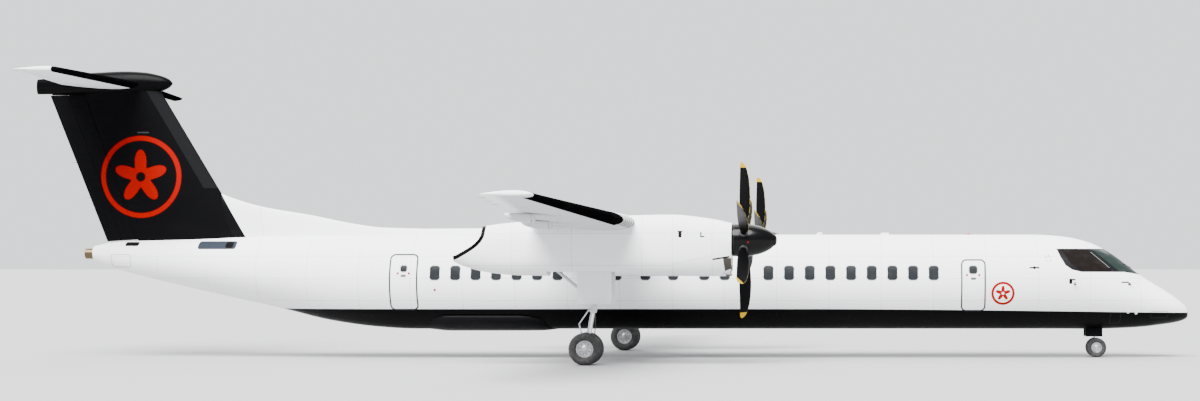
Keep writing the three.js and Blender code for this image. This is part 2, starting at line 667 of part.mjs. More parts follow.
// Bullet at the crossing of fin and tailplane
// Row: x, top, bottom, half width, height of the widest line
const BULLET_ROWS = [
  [-12570, 5675, 5645, 15, 5660],
  [-12660, 5775, 5540, 110, 5650],
  [-12950, 5895, 5420, 205, 5640],
  [-13400, 5985, 5375, 270, 5640],
  [-13900, 6014, 5355, 300, 5640],
  [-14700, 5975, 5345, 290, 5630],
  [-15600, 5870, 5345, 210, 5600],
  [-NOSE_X, 5771, 5345, 90, 5560],
];
const TAILPLANE = {
  leadRoot: -13420, chordRoot: 2250, leadTip: -13880, chordTip: 1270, ratio: 0.12, tipY: 4635,
};
const tailSection = (y, grow = 0) => {
  const t = Math.abs(y) / TAILPLANE.tipY;
  const lead = mix(TAILPLANE.leadRoot, TAILPLANE.leadTip, t);
  const chord = mix(TAILPLANE.chordRoot, TAILPLANE.chordTip, t);
  return { lead, chord, ring: wingRing(point(lead, y, TAILPLANE_Z), chord, TAILPLANE.ratio, 0, UP, grow) };
};
const tailCap = (side) =>
  wingRing(
    point(TAILPLANE.leadTip - 110, side * TAILPLANE.tipY, TAILPLANE_Z),
    TAILPLANE.chordTip - 150, 0.03, 0, UP,
  );
const tailRings = (grow) => [-TAILPLANE.tipY + 60, 0, TAILPLANE.tipY - 60]
  .map((y) => tailSection(y, grow).ring);
const tailBody = loft([tailCap(-1), ...tailRings(0), tailCap(1)]);
const ELEVATOR = { x: -14930, y0: 345, y1: 4500 };
const elevatorRegion = (grow) =>
  box(
    -17000, ELEVATOR.x + grow, ELEVATOR.y0 - grow, ELEVATOR.y1 + grow,
    TAILPLANE_Z - 400, TAILPLANE_Z + 400,
  );
const tailHalf = (y) => {
  const { lead, chord } = tailSection(y);
  return halfDepth((lead - ELEVATOR.x) / chord, TAILPLANE.ratio) * chord;
};
const elevatorHinge = hinge(
  point(ELEVATOR.x, ELEVATOR.y0, TAILPLANE_Z), point(ELEVATOR.x, ELEVATOR.y1, TAILPLANE_Z),
  tailHalf(ELEVATOR.y0), tailHalf(ELEVATOR.y1), FORWARD,
);
addPair('elevator', elevatorHinge.moving(tailBody, elevatorRegion(0)), 'white');
const tailCuts = [elevatorRegion(RUNNING_GAP + 6), elevatorHinge.hollow];
const tailplane = join(
  cut(tailBody, ...tailCuts, ...tailCuts.map(mirrored)),
  ...elevatorHinge.lugs, ...elevatorHinge.lugs.map(mirrored),
);
add('tailplane', tailplane, 'grey');

const bulletBody = loft(BULLET_ROWS.map((row) => bodyRing(row, 0, 16)));
const bulletSeat = loft(BULLET_ROWS.map((row) => bodyRing(row, -GAP, 16)));
const tailSeat = loft(tailRings(GAP));
add('tail_bullet', cut(bulletBody, tailSeat), 'charcoal');

const fin = join(
  cut(
    finBody, seatSkin, bulletSeat, finRegion(rudderLine, aftEnd, RUNNING_GAP + 6),
    rudderHinge.hollow,
  ),
  ...rudderHinge.lugs,
);
add('fin', fin, 'charcoal');

// Dorsal fin, an upright blade that grows out of the spine
// Row: x, top, bottom, half width, height of the widest line
const DORSAL_ROWS = [
  [-5500 - GAP, 1512, 1150, 170, 1290],
  [-6596, 1545, 1150, 130, 1280],
  [-7396, 1653, 1150, 130, 1260],
  [-8595, 1893, 1100, 140, 1230],
  [-10023, 2142, 1050, 165, 1200],
  [-10937, 2416, 1000, 185, 1180],
  [-11350, 2600, 1000, 195, 1180],
];
const dorsal = loft(DORSAL_ROWS.map((row) => bodyRing(row, 0, 16)));
add('dorsal_fin', cut(dorsal, seatSkin, finSeat), 'white');

// Nacelles, built on the left and mirrored
// Row: x, top, bottom, half width, height of the widest line, roundness
const NACELLE_ROWS = [
  [3680, 1577, 190, 455, 950, 2.2],
  [3150, 1690, 180, 545, 950, 2.5],
  [2095, 1800, 188, 578, 950, 2.7],
  [-566, 1700, 190, 580, 930, 2.8],
  [-1264, 1625, 193, 570, 900, 2.7],
  [-1950, 1600, 206, 530, 900, 2.6],
  [-2690, 1520, 275, 440, 880, 2.4],
  [-3370, 1400, 444, 310, 880, 2.2],
  [-3620, 1350, 560, 225, 880, 2],
];
const SHELL = 30;
const nacelleBody = (depth) =>
  loft(NACELLE_ROWS.map((row) =>
    bodyRing(row, depth, 20).map((p) => p.setY(p.y + NACELLE_Y))));
const EXHAUST_CUT = [
  [-2900, 1700], [-2900, 1420], [-2975, 1206], [-3270, 950], [-3640, 690], [-4000, 600],
  [-4000, 1700],
];
const ENGINE_BAY = {
  x0: 950, x1: 3640, step: 3050, low: 395, roof: 1495, high: 650, front: 1380, half: 400,
};
const GEAR_BAY = { x0: -1600, x1: 850, floor: 390, roof: 1240, half: 430 };
const EXHAUST_BAY = { x0: -3700, x1: -1800 };
const GEAR_WELL = { x0: -1130, x1: 640, half: 400 };
const INTAKE = { x0: 3120, z0: 245, z1: 590, half: 300, corner: 110 };
const ENGINE = { x0: 1000, x1: 3420, half: 385, top: 1485, box: 1370 };
const SHAFT = { radius: 100, depth: 150, hole: 140, sides: 32 };
const bay = (x0, x1, z0, z1, half = 700) =>
  box(x0, x1, NACELLE_Y - half, NACELLE_Y + half, CENTRE_Z + z0, CENTRE_Z + z1);
const nacelleRoom = nacelleBody(SHELL);
const wingSeat = join(
  loft([3500, NACELLE_Y].map((y) => wingRing(
    point(WING.leadRoot, y, WING_Z), WING.chordRoot, WING.ratioRoot, WING.camber, UP, GAP))),
  loft([NACELLE_Y, WING.breakY, WING.tipY].map((y) => wingSection(y, GAP))),
);
const intakeMouth = (() => {
  const { half, z0, z1, corner } = INTAKE;
  const shape = panel(-half, half, z0, z1, corner)
    .map(([y, z]) => new THREE.Vector2(y, z + CENTRE_Z));
  const geometry = new THREE.ExtrudeGeometry(new THREE.Shape(shape), {
    depth: 700, bevelEnabled: false,
  });
  geometry.rotateX(Math.PI / 2);
  geometry.rotateZ(Math.PI / 2);
  geometry.translate(INTAKE.x0, NACELLE_Y, 0);
  return solid(geometry);
})();
const axisRod = (x0, x1, radius, sides) =>
  rod(point(x0, NACELLE_Y, HUB_Z), point(x1, NACELLE_Y, HUB_Z), radius, radius, sides);
const nacelle = cut(
  nacelleBody(0),
  bay(ENGINE_BAY.x0, ENGINE_BAY.step, ENGINE_BAY.low, ENGINE_BAY.roof, ENGINE_BAY.half),
  bay(
    ENGINE_BAY.step - 1, ENGINE_BAY.x1, ENGINE_BAY.high, ENGINE_BAY.front, ENGINE_BAY.half - 90,
  ),
  bay(GEAR_BAY.x0, GEAR_BAY.x1, GEAR_BAY.floor, GEAR_BAY.roof, GEAR_BAY.half),
  nacelleRoom.intersect(bay(EXHAUST_BAY.x0, EXHAUST_BAY.x1, 0, 2000)),
  bay(GEAR_WELL.x0, GEAR_WELL.x1, 100, 500, GEAR_WELL.half),
  sidePrism(raised(EXHAUST_CUT), NACELLE_Y - 700, NACELLE_Y + 700),
  intakeMouth,
  axisRod(3600, 3800, SHAFT.hole, 20),
  wingSeat,
  flapPinTo(FLAP_PIN.end + 5, bore(FLAP_PIN.radius, FLAP_PIN.sides)),
);
const nacellePad = jackPad(NACELLE_JACK.x, NACELLE_Y, CENTRE_Z + NACELLE_JACK.face);
addPair('nacelle', join(nacelle, nacellePad), 'white');

const engineBlock = cut(
  join(
    bay(ENGINE.x0, ENGINE_BAY.step - 20, ENGINE_BAY.low + GAP, ENGINE.top, ENGINE.half),
    bay(ENGINE_BAY.step - 21, ENGINE.x1, ENGINE_BAY.high + 60, ENGINE.box, ENGINE.half - 90),
  ),
  wingSeat,
  axisRod(
    ENGINE.x1 - SHAFT.depth - 1, ENGINE.x1 + 10, bore(SHAFT.radius, SHAFT.sides), SHAFT.sides,
  ),
);
addPair('engine', engineBlock, 'engine');

const JET = { x0: EXHAUST_BAY.x1 - GAP, x1: -3010, z0: 1100, z1: 1020, radius: 262, wall: 10 };
const jetEnd = (x, z) => point(x, NACELLE_Y, CENTRE_Z + z);
const jetPipe = cut(
  rod(jetEnd(JET.x0, JET.z0), jetEnd(JET.x1, JET.z1), JET.radius, JET.radius, 20),
  rod(
    jetEnd(JET.x0 - 60, JET.z0), jetEnd(JET.x1 - 40, JET.z1), JET.radius - JET.wall,
    JET.radius - JET.wall, 20,
  ),
).intersect(bay(-3700, JET.x0, 0, 2000));
addPair('jet_pipe', jetPipe, 'metal');

// Propellers: turned spinner, and a hub that carries the blades and the shaft
// Row: radius along the spinner's length, from its back plate to its tip
const SPINNER_PROFILE = [
  [0, -310], [424, -310], [430, -80], [420, 130], [372, 380], [262, 650], [130, 812], [0, 862],
];
const SPINNER_HOLE = 120;
const HUB = { radius: 200, front: 210, sides: 18 };
const BACK = SPINNER_PROFILE[0][1];
// Row: radius, leading edge and trailing edge from the pitch axis, depth, pitch
const BLADE_ROWS = [
  [150, 85, 85, 150, 62],
  [430, 88, 88, 125, 60],
  [800, 195, 155, 66, 53],
  [1250, 232, 176, 42, 46.5],
  [1600, 205, 172, 30, 43],
  [1880, 90, 163, 20, 41],
  [PROP_RADIUS - 8, -95, 150, 8, 40],
];
const BLADE_SIDES = 8;
const blade = loft(BLADE_ROWS.map(([radius, lead, trail, depth, pitch]) => {
  const chordwise = point(Math.sin(rad(pitch)), -Math.cos(rad(pitch)), 0);
  const normal = point(Math.cos(rad(pitch)), Math.sin(rad(pitch)), 0);
  return Array.from({ length: BLADE_SIDES }, (_, i) => {
    const turn = (i / BLADE_SIDES) * 2 * Math.PI;
    const along = (lead - trail) / 2 + ((lead + trail) / 2) * Math.cos(turn);
    return point(0, 0, radius).addScaledVector(chordwise, along)
      .addScaledVector(normal, (depth / 2) * Math.sin(turn));
  });
}));
const bladeTurns = Array.from({ length: BLADES }, (_, i) => (i / BLADES) * 2 * Math.PI);
const alongX = (x0, x1, radius, sides) =>
  rod(point(x0, 0, 0), point(x1, 0, 0), radius, radius, sides);
const spinner = cut(
  turned([...SPINNER_PROFILE].reverse(), 'x', 24),
  alongX(BACK - 20, HUB.front + 20, HUB.radius + GAP, HUB.sides),
  ...bladeTurns.map((turn) => spun(
    rod(point(0, 0, 100), point(0, 0, 480), SPINNER_HOLE, SPINNER_HOLE, 10), turn)),
);
const shaftEnd = ENGINE.x1 - SHAFT.depth - PROP_X;
const bladeSet = join(
  alongX(BACK, HUB.front, HUB.radius, HUB.sides),
  alongX(shaftEnd, BACK + 10, SHAFT.radius, SHAFT.sides),
  ...bladeTurns.map((turn) => spun(blade, turn)),
);
for (const [side, word] of [[1, 'left'], [-1, 'right']]) {
  const propeller = new THREE.Group();
  propeller.position.set(PROP_X, side * NACELLE_Y, HUB_Z);
  propeller.rotation.x = rad(PROP_PHASE);
  part.add(propeller);
  add(`spinner_${word}`, spinner, 'black', propeller);
  add(`prop_blades_${word}`, bladeSet, 'black', propeller);
}

const AXLE_SIDES = 28;

// Wheels, about the Y axis at the middle of their axle
function tyre(radius, bore, half, sides) {
  const shoulder = half * 0.8;
  const profile = [
    [bore, -half * 0.72], [mix(bore, radius, 0.55), -half], [mix(bore, radius, 0.92), -shoulder],
    [radius, -half * 0.45], [radius, half * 0.45], [mix(bore, radius, 0.92), shoulder],
    [mix(bore, radius, 0.55), half], [bore, half * 0.72], [bore, -half * 0.72],
  ];
  return turned(profile, 'y', sides);
}
function rims(radius, half, apart, axle, sides) {
  const face = half * 0.5;
  const profile = [
    [0, -face], [radius * 0.7, -face], [radius - GAP, -half], [radius - GAP, half],
    [radius * 0.7, face], [0, face],
  ];
  const wheel = turned(profile, 'y', sides);
  const shaft = rod(point(0, -apart, 0), point(0, apart, 0), axle, axle, AXLE_SIDES);
  return join(moved(wheel, 0, apart, 0), moved(wheel, 0, -apart, 0), shaft);
}
// Row: tyre radius, bore, half width, sides, distance of each wheel from the middle, axle radius
const WHEELS = {
  main: { radius: 432, bore: 225, half: 136, sides: 24, apart: 235, axle: 48 },
  nose: { radius: 279.5, bore: 150, half: 82.5, sides: 20, apart: 160, axle: 28 },
};
const axleHeight = ({ radius, sides }) => radius * Math.cos(Math.PI / sides);
function addWheels(name, kind, x, y) {
  const size = WHEELS[kind];
  const group = new THREE.Group();
  group.position.set(x, y, axleHeight(size));
  part.add(group);
  const pair = rims(size.bore, size.half * 0.7, size.apart, size.axle, size.sides);
  add(`rims_${name}`, pair, 'steel', group);
  const rubber = tyre(size.radius, size.bore, size.half, size.sides);
  for (const [side, word] of [[1, 'left'], [-1, 'right']])
    add(`tyre_${name}_${word}`, rubber, 'rubber', group).position.y = side * size.apart;
}
addWheels('main_left', 'main', MAIN_AXLE_X, NACELLE_Y);
addWheels('main_right', 'main', MAIN_AXLE_X, -NACELLE_Y);
addWheels('nose', 'nose', NOSE_AXLE_X, 0);

// Main leg: trunnion across the bay, strut, brace to a second cross tube, axle collar
const MAIN_Z = axleHeight(WHEELS.main);
const MAIN_LEG = { top: point(300, NACELLE_Y, CENTRE_Z + 760), strut: 88, piston: 60, collar: 72 };
const mainAxle = point(MAIN_AXLE_X, NACELLE_Y, MAIN_Z);
const onLeg = (t) => MAIN_LEG.top.clone().lerp(mainAxle, t);
const BRACE = { x: -1300, z: CENTRE_Z + 640 };
const across = (x, z, radius) => rod(
  point(x, NACELLE_Y - GEAR_BAY.half + GAP, z), point(x, NACELLE_Y + GEAR_BAY.half - GAP, z),
  radius, radius, 10,
);
const acrossAxle = (at, half, radius, sides) => rod(
  at.clone().add(point(0, -half, 0)), at.clone().add(point(0, half, 0)), radius, radius, sides,
);
const axleBore = (at, radius) => acrossAxle(at, 90, bore(radius, AXLE_SIDES), AXLE_SIDES);
const mainLeg = cut(
  join(
    across(MAIN_LEG.top.x, MAIN_LEG.top.z, 75),
    across(BRACE.x, BRACE.z, 45),
    rod(MAIN_LEG.top, onLeg(0.6), MAIN_LEG.strut, MAIN_LEG.strut, 12),
    rod(onLeg(0.55), mainAxle, MAIN_LEG.piston, MAIN_LEG.piston, 12),
    rod(onLeg(0.5), point(BRACE.x, NACELLE_Y, BRACE.z), 42, 42, 10),
    acrossAxle(mainAxle, 72, MAIN_LEG.collar, 14),
  ),
  axleBore(mainAxle, WHEELS.main.axle),
);
addPair('main_leg', mainLeg, 'steel');

// Gear doors that hang open, each pair on one link
const MAIN_DOOR = { x0: -330, x1: 560, half: 405, thick: 24, low: 1610, link: 460 };
const mainDoors = join(
  ...[1, -1].map((side) => {
    const [near, far] = [MAIN_DOOR.half, MAIN_DOOR.half + MAIN_DOOR.thick];
    const y0 = NACELLE_Y + (side > 0 ? near : -far);
    return cut(
      box(MAIN_DOOR.x0, MAIN_DOOR.x1, y0, y0 + MAIN_DOOR.thick, MAIN_DOOR.low, CENTRE_Z + 400),
      nacelleBody(-GAP),
    );
  }),
  rod(
    point(MAIN_DOOR.link, NACELLE_Y - MAIN_DOOR.half - 10, 2150),
    point(MAIN_DOOR.link, NACELLE_Y + MAIN_DOOR.half + 10, 2150), 18, 18, 10,
  ),
);
addPair('main_doors', mainDoors, 'white');

const NOSE_Z = axleHeight(WHEELS.nose);
const NOSE_LEG = { low: 620, strut: 72, piston: 50, collar: 46 };
const roofZ = CENTRE_Z + NOSE_BAY.roof - GAP;
const noseAt = (z) => point(NOSE_AXLE_X, 0, z);
const noseAcross = (x, z, radius) => rod(
  point(x, GAP - NOSE_BAY.half, z), point(x, NOSE_BAY.half - GAP, z), radius, radius, 14,
);
add('nose_leg', join(
  rod(noseAt(NOSE_LEG.low), noseAt(roofZ), NOSE_LEG.strut, NOSE_LEG.strut, 12),
  noseAcross(NOSE_AXLE_X, 1240, 50),
  noseAcross(NOSE_BAY.x0 + 50, 1250, 32),
  rod(noseAt(800), point(NOSE_BAY.x0 + 50, 0, 1250), 28, 28, 12),
), 'steel');
const TOW_LUG = { reach: 120, half: 32 };
add('nose_fork', cut(
  join(
    rod(noseAt(NOSE_Z), noseAt(NOSE_LEG.low - GAP), NOSE_LEG.piston, NOSE_LEG.piston, 12),
    acrossAxle(noseAt(NOSE_Z), 60, NOSE_LEG.collar, 14),
    box(
      NOSE_AXLE_X + 20, NOSE_AXLE_X + TOW_LUG.reach, -TOW_LUG.half, TOW_LUG.half,
      NOSE_Z - TOW_LUG.half, NOSE_Z + TOW_LUG.half,
    ),
  ),
  axleBore(noseAt(NOSE_Z), WHEELS.nose.axle),
), 'steel');
const NOSE_DOOR = { x0: 13470, x1: 13950, half: 226, thick: 20, low: 590 };
add('nose_doors', join(
  ...[1, -1].map((side) => {
    const y0 = side > 0 ? NOSE_DOOR.half : -NOSE_DOOR.half - NOSE_DOOR.thick;
    const { x0, x1, thick, low } = NOSE_DOOR;
    return cut(box(x0, x1, y0, y0 + thick, low, CENTRE_Z - 1200), seatSkin);
  }),
  rod(
    point(13915, -NOSE_DOOR.half - 5, 720), point(13915, NOSE_DOOR.half + 5, 720), 12, 12, 10,
  ),
), 'black');

add('fuselage', fuselage, 'white');

export default part;
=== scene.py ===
"""Looks of a twin turboprop airliner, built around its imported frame.

Metres, +X to the nose, +Y to the left wing tip, +Z up, the floor at z = 0.
Tables give heights from the fuselage's centre line.
"""
from bisect import bisect_right
from functools import reduce
from math import cos, hypot, pi, radians, sin, sqrt, tan

import bmesh
import bpy
from bpy.props import FloatProperty, FloatVectorProperty, PointerProperty
from mathutils import Matrix, Vector


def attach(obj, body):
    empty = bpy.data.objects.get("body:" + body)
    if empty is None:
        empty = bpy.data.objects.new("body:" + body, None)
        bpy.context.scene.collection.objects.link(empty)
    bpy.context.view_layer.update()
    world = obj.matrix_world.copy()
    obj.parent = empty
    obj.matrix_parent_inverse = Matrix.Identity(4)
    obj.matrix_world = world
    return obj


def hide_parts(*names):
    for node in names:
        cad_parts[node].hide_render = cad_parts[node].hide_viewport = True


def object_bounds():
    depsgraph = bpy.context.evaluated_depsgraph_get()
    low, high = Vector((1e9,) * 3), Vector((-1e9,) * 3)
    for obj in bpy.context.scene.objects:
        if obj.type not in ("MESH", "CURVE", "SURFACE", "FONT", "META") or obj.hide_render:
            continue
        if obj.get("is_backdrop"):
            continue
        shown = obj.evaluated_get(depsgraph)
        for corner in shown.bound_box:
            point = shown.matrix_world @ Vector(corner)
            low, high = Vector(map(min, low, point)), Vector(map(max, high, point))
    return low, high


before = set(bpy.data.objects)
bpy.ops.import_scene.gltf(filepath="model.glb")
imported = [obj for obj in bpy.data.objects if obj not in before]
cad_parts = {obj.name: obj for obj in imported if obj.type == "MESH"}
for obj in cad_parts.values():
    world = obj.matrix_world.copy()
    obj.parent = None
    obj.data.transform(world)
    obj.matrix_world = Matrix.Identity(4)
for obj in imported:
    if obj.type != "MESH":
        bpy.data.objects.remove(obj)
CAD_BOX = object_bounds()

bl_info = {
    "name": "Turboprop Airliner",
    "version": (1, 0, 0),
    "blender": (4, 5, 0),
    "location": "View3D > Sidebar > Airliner",
    "description": "Builds the skin, glazing, propellers, gear and finishes of a turboprop airliner",
    "category": "Object",
}

# Driving sizes, as in the frame
NOSE_X = 16.415
CENTRE_Z = 2.15
CABIN_RADIUS = 1.345
HALF_SPAN = 14.21
NACELLE_Y = 4.4
HUB = Vector((4.0, NACELLE_Y, CENTRE_Z + 1.13))
PROP_RADIUS = 2.055
BLADES = 6
PROP_PHASE = radians(4)
WING_Z = CENTRE_Z + 1.56
DIHEDRAL = radians(2.5)
TAILPLANE_Z = CENTRE_Z + 5.61
UP = Vector((0, 0, 1))
SIDE = Vector((0, 1, 0))
AHEAD = Vector((1, 0, 0))
SIDES = (("left", 1), ("right", -1))


# Smooth tables

def slopes(xs, ys):
    """Slopes of a smooth curve through points that never overshoots them."""
    steps = [(ys[i + 1] - ys[i]) / (xs[i + 1] - xs[i]) for i in range(len(xs) - 1)]
    inner = [0 if a * b <= 0 else 2 * a * b / (a + b) for a, b in zip(steps, steps[1:])]
    return [steps[0], *inner, steps[-1]]


def curve(xs, ys):
    """A smooth function through points whose xs rise."""
    lean = slopes(xs, ys)

    def at(x):
        i = max(0, min(len(xs) - 2, bisect_right(xs, x) - 1))
        h = xs[i + 1] - xs[i]
        t = (x - xs[i]) / h
        return (
            (1 + 2 * t) * (1 - t) ** 2 * ys[i] + t * (1 - t) ** 2 * h * lean[i]
            + t * t * (3 - 2 * t) * ys[i + 1] - t * t * (1 - t) * h * lean[i + 1]
        )

    return at


def mix(a, b, t):
    return a + (b - a) * t


def spot(x, y, z):
    """A point whose height is given from the fuselage's centre line."""
    return Vector((x, y, z + CENTRE_Z))


def turns(count, size=3, start=0.0):
    """Even turns about the X axis, as matrices."""
    return [Matrix.Rotation(start + i / count * 2 * pi, size, AHEAD) for i in range(count)]


def spread(start, end, count):
    """Evenly spaced numbers, both ends included."""
    return [mix(start, end, i / (count - 1)) for i in range(count)]


def oval(x, y, top, bottom, half, widest, power, sides):
    """A rounded section square to X; the power 2 gives ellipses, more gives fuller corners."""
    ring = []
    for i in range(sides):
        c, s = cos(2 * pi * i / sides), sin(2 * pi * i / sides)
        reach = top - widest if s > 0 else widest - bottom
        out = (1 if c > 0 else -1) * abs(c) ** (2 / power) * half
        up = (1 if s > 0 else -1) * abs(s) ** (2 / power) * reach
        ring.append(spot(x, y + out, widest + up))
    return ring


class Hull:
    """A body along X from a table of x, top, bottom, half width, widest height and roundness."""

    def __init__(self, rows, y=0.0, key=lambda x: x):
        rows = sorted(([*row, 2.0][:6] for row in rows), key=lambda row: key(row[0]))
        self.key, self.y = key, y
        self.front = max(row[0] for row in rows)
        self.rear = min(row[0] for row in rows)
        stations, *columns = zip(*rows)
        self.columns = [curve([key(x) for x in stations], column) for column in columns]

    def section(self, x):
        return [column(self.key(x)) for column in self.columns]

    def ring(self, x, sides, grow=0.0):
        top, bottom, half, widest, power = self.section(x)
        return oval(x, self.y, top + grow, bottom - grow, half + grow, widest, power, sides)

    def skin(self, x, z, side):
        """The point of the surface at a height from the centre line, and the outward normal."""
        def width(x, z):
            top, bottom, half, widest, power = self.section(x)
            reach = top - widest if z > widest else widest - bottom
            inside = max(0.0, 1 - min(1.0, abs(z - widest) / reach) ** power)
            return half * inside ** (1 / power)

        d = 1e-3
        rise = (width(x, z + d) - width(x, z - d)) / (2 * d)
        run = (width(x + d, z) - width(x - d, z)) / (2 * d)
        return spot(x, self.y + side * width(x, z), z), Vector((-run, side, -rise)).normalized()

    def body(self, stations, sides, grow=0.0):
        return loft([self.ring(x, sides, grow) for x in stations])


# Closed meshes

def make(verts, faces):
    """A closed mesh whose faces point outwards, as an object at the origin."""
    mesh = bpy.data.meshes.new("piece")
    mesh.from_pydata([tuple(v) for v in verts], [], faces)
    mesh.validate()
    work = bmesh.new()
    work.from_mesh(mesh)
    bmesh.ops.remove_doubles(work, verts=work.verts, dist=1e-6)
    bmesh.ops.dissolve_degenerate(work, edges=work.edges, dist=1e-7)
    bmesh.ops.recalc_face_normals(work, faces=work.faces)
    work.to_mesh(mesh)
    work.free()
    piece = bpy.data.objects.new("piece", mesh)
    bpy.context.scene.collection.objects.link(piece)
    return piece


def loft(rings):
    """A body through rings of equally many points, closed at its ends; a ring may be one point."""
    verts, faces, starts = [], [], []
    for ring in rings:
        starts.append(len(verts))
        verts += ring
    count = max(len(ring) for ring in rings)
    for k, (a, b) in enumerate(zip(rings, rings[1:])):
        for j in range(count):
            n = (j + 1) % count
            low = [starts[k] + (i if len(a) > 1 else 0) for i in (j, n)]
            high = [starts[k + 1] + (i if len(b) > 1 else 0) for i in (n, j)]
            faces.append(list(dict.fromkeys(low + high)))
    for k in (0, len(rings) - 1):
        if len(rings[k]) > 1:
            faces.append([starts[k] + j for j in range(count)])
    return make(verts, faces)


def block(x, y, z):
    """A box from its (low, high) ranges."""
    corners = [(y[i], z[j]) for i, j in ((0, 0), (1, 0), (1, 1), (0, 1))]
    return loft([[Vector((at, *corner)) for corner in corners] for at in x])


def raised(x, y, z):
    """A box whose heights are given from the fuselage's centre line."""
    return block(x, y, [height + CENTRE_Z for height in z])


def side_prism(outline, y0, y1):
    """A prism of an outline in the side view."""
    return loft([[spot(x, y, z) for x, z in outline] for y in (y0, y1)])


def across(direction):
    """Two unit vectors square to a direction."""
    first = direction.cross(UP if abs(direction.z) < 0.9 else SIDE).normalized()
    return first, first.cross(direction).normalized()


def circle(centre, radius, direction, sides):
    first, second = across(direction)
    return [
        centre + radius * (cos(2 * pi * i / sides) * first + sin(2 * pi * i / sides) * second)
        for i in range(sides)
    ]


def turned(start, direction, profile, sides=48):
    """A body of revolution from (distance along, radius) pairs; closed by discs or points."""
    direction = direction.normalized()
    rings = [
        circle(start + along * direction, radius, direction, sides)
        if radius > 1e-6 else [start + along * direction]
        for along, radius in profile
    ]
    return loft(rings)


def rod(start, end, radius, tip=None, sides=24, edge=0.0):
    """A round bar or cone between two points, with softened ends."""
    length = (end - start).length
    tip = radius if tip is None else tip
    profile = [(0, radius), (length, tip)]
    if edge:
        profile = [(0, radius - edge), (edge, radius), (length - edge, tip), (length, tip - edge)]
    return turned(start, end - start, profile, sides)


def crossbar(at, half, radius, edge=0.0, sides=24):
    """A round bar along Y, with its middle at a point."""
    return rod(at - half * SIDE, at + half * SIDE, radius, edge=edge, sides=sides)


def ring_solid(centre, direction, outer, inner, depth, sides=48):
    """A flat washer round an axis, with softened outer edges."""
    direction = direction.normalized()
    soft = min(depth, outer - inner) * 0.25
    profile = [
        (0, inner), (0, outer - soft), (soft, outer), (depth - soft, outer),
        (depth, outer - soft), (depth, inner),
    ]
    return hoop(centre, direction, profile, sides)


def loops_solid(loops):
    """A closed ring whose section runs through loops of equally many points."""
    count = len(loops[0])
    verts = [point for loop in loops for point in loop]
    faces = []
    for k in range(len(loops)):
        a, b = k * count, ((k + 1) % len(loops)) * count
        for j in range(count):
            n = (j + 1) % count
            faces.append([a + j, a + n, b + n, b + j])
    return make(verts, faces)


def hoop(centre, direction, profile, sides=48):
    """A ring whose closed section is given as (distance along, radius) pairs."""
    return loops_solid([circle(centre + along * direction, r, direction, sides) for along, r in profile])


def along_path(points, radius, sides=10):
    """A round bar that follows points."""
    rings = []
    for i, point in enumerate(points):
        ahead = points[min(i + 1, len(points) - 1)] - points[max(i - 1, 0)]
        rings.append(circle(point, radius, ahead.normalized(), sides))
    return loft(rings)


def settle(piece):
    """Applies a piece's modifiers to its mesh."""
    graph, old = bpy.context.evaluated_depsgraph_get(), piece.data
    mesh = bpy.data.meshes.new_from_object(piece.evaluated_get(graph))
    piece.modifiers.clear()
    piece.data = mesh
    bpy.data.meshes.remove(old)
    return piece


def combine(body, tools, operation, keep=False):
    """The body cut, joined or clipped by tools, which are used up unless they are kept."""
    for tool in tools:
        modifier = body.modifiers.new("combine", "BOOLEAN")
        modifier.operation = operation
        modifier.solver = "MANIFOLD"
        modifier.object = tool
    settle(body)
    if not keep:
        discard(*tools)
    return body


def cut(body, *tools, keep=False):
    return combine(body, tools, "DIFFERENCE", keep)


def unite(body, *tools):
    return combine(body, tools, "UNION")


def clip(body, *tools, keep=False):
    return combine(body, tools, "INTERSECT", keep)


def discard(*pieces):
    for piece in pieces:
        mesh = piece.data
        bpy.data.objects.remove(piece)
        bpy.data.meshes.remove(mesh)


def twin(piece, matrix=None):
    """A copy of a piece, moved or mirrored by a matrix."""
    other = bpy.data.objects.new("piece", piece.data.copy())
    bpy.context.scene.collection.objects.link(other)
    if matrix is not None:
        other.data.transform(matrix)
        if matrix.determinant() < 0:
            other.data.flip_normals()
    return other


MIRROR = Matrix.Scale(-1, 4, SIDE)


def gather(*pieces):
    """Several closed meshes as one object, each with its own finishes."""
    work, finishes = bmesh.new(), []
    for piece in pieces:
        part = piece.data
        places = []
        for material in part.materials:
            if material not in finishes:
                finishes.append(material)
            places.append(finishes.index(material))
        start = len(work.faces)
        work.from_mesh(part)
        work.faces.ensure_lookup_table()
        for face in work.faces[start:]:
            face.material_index = places[face.material_index] if places else 0
    mesh = bpy.data.meshes.new("piece")
    work.to_mesh(mesh)
    work.free()
    for material in finishes:
        mesh.materials.append(material)
    whole = bpy.data.objects.new("piece", mesh)
    bpy.context.scene.collection.objects.link(whole)
    discard(*pieces)
    return whole


def painted(piece, finish_name):
    """Gives all of a piece one finish."""
    piece.data.materials.clear()
    piece.data.materials.append(finish(finish_name))
    piece.data.polygons.foreach_set("material_index", [0] * len(piece.data.polygons))
    return piece


def rounded(piece, width):
    """Softens a piece's edges."""
    modifier = piece.modifiers.new("edges", "BEVEL")
    modifier.width = width
    modifier.segments = 2
    modifier.limit_method = "ANGLE"
    modifier.angle_limit = radians(40)
    return settle(piece)


def dress(piece, name, body, slot, *nodes, sharp=32):
    """Shades a finished piece, rides it on its body and names what it stands for."""
    mesh = piece.data
    mesh.polygons.foreach_set("use_smooth", [True] * len(mesh.polygons))
    mesh.set_sharp_from_angle(angle=radians(sharp))
    piece.name = mesh.name = name
    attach(piece, body)
    if nodes:
        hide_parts(*nodes)


# Materials

def joined_by(operation):
    """A method that puts two numbers through a maths node."""
    def join(one, other):
        return one.sheet.maths(operation, one, other)
    return join


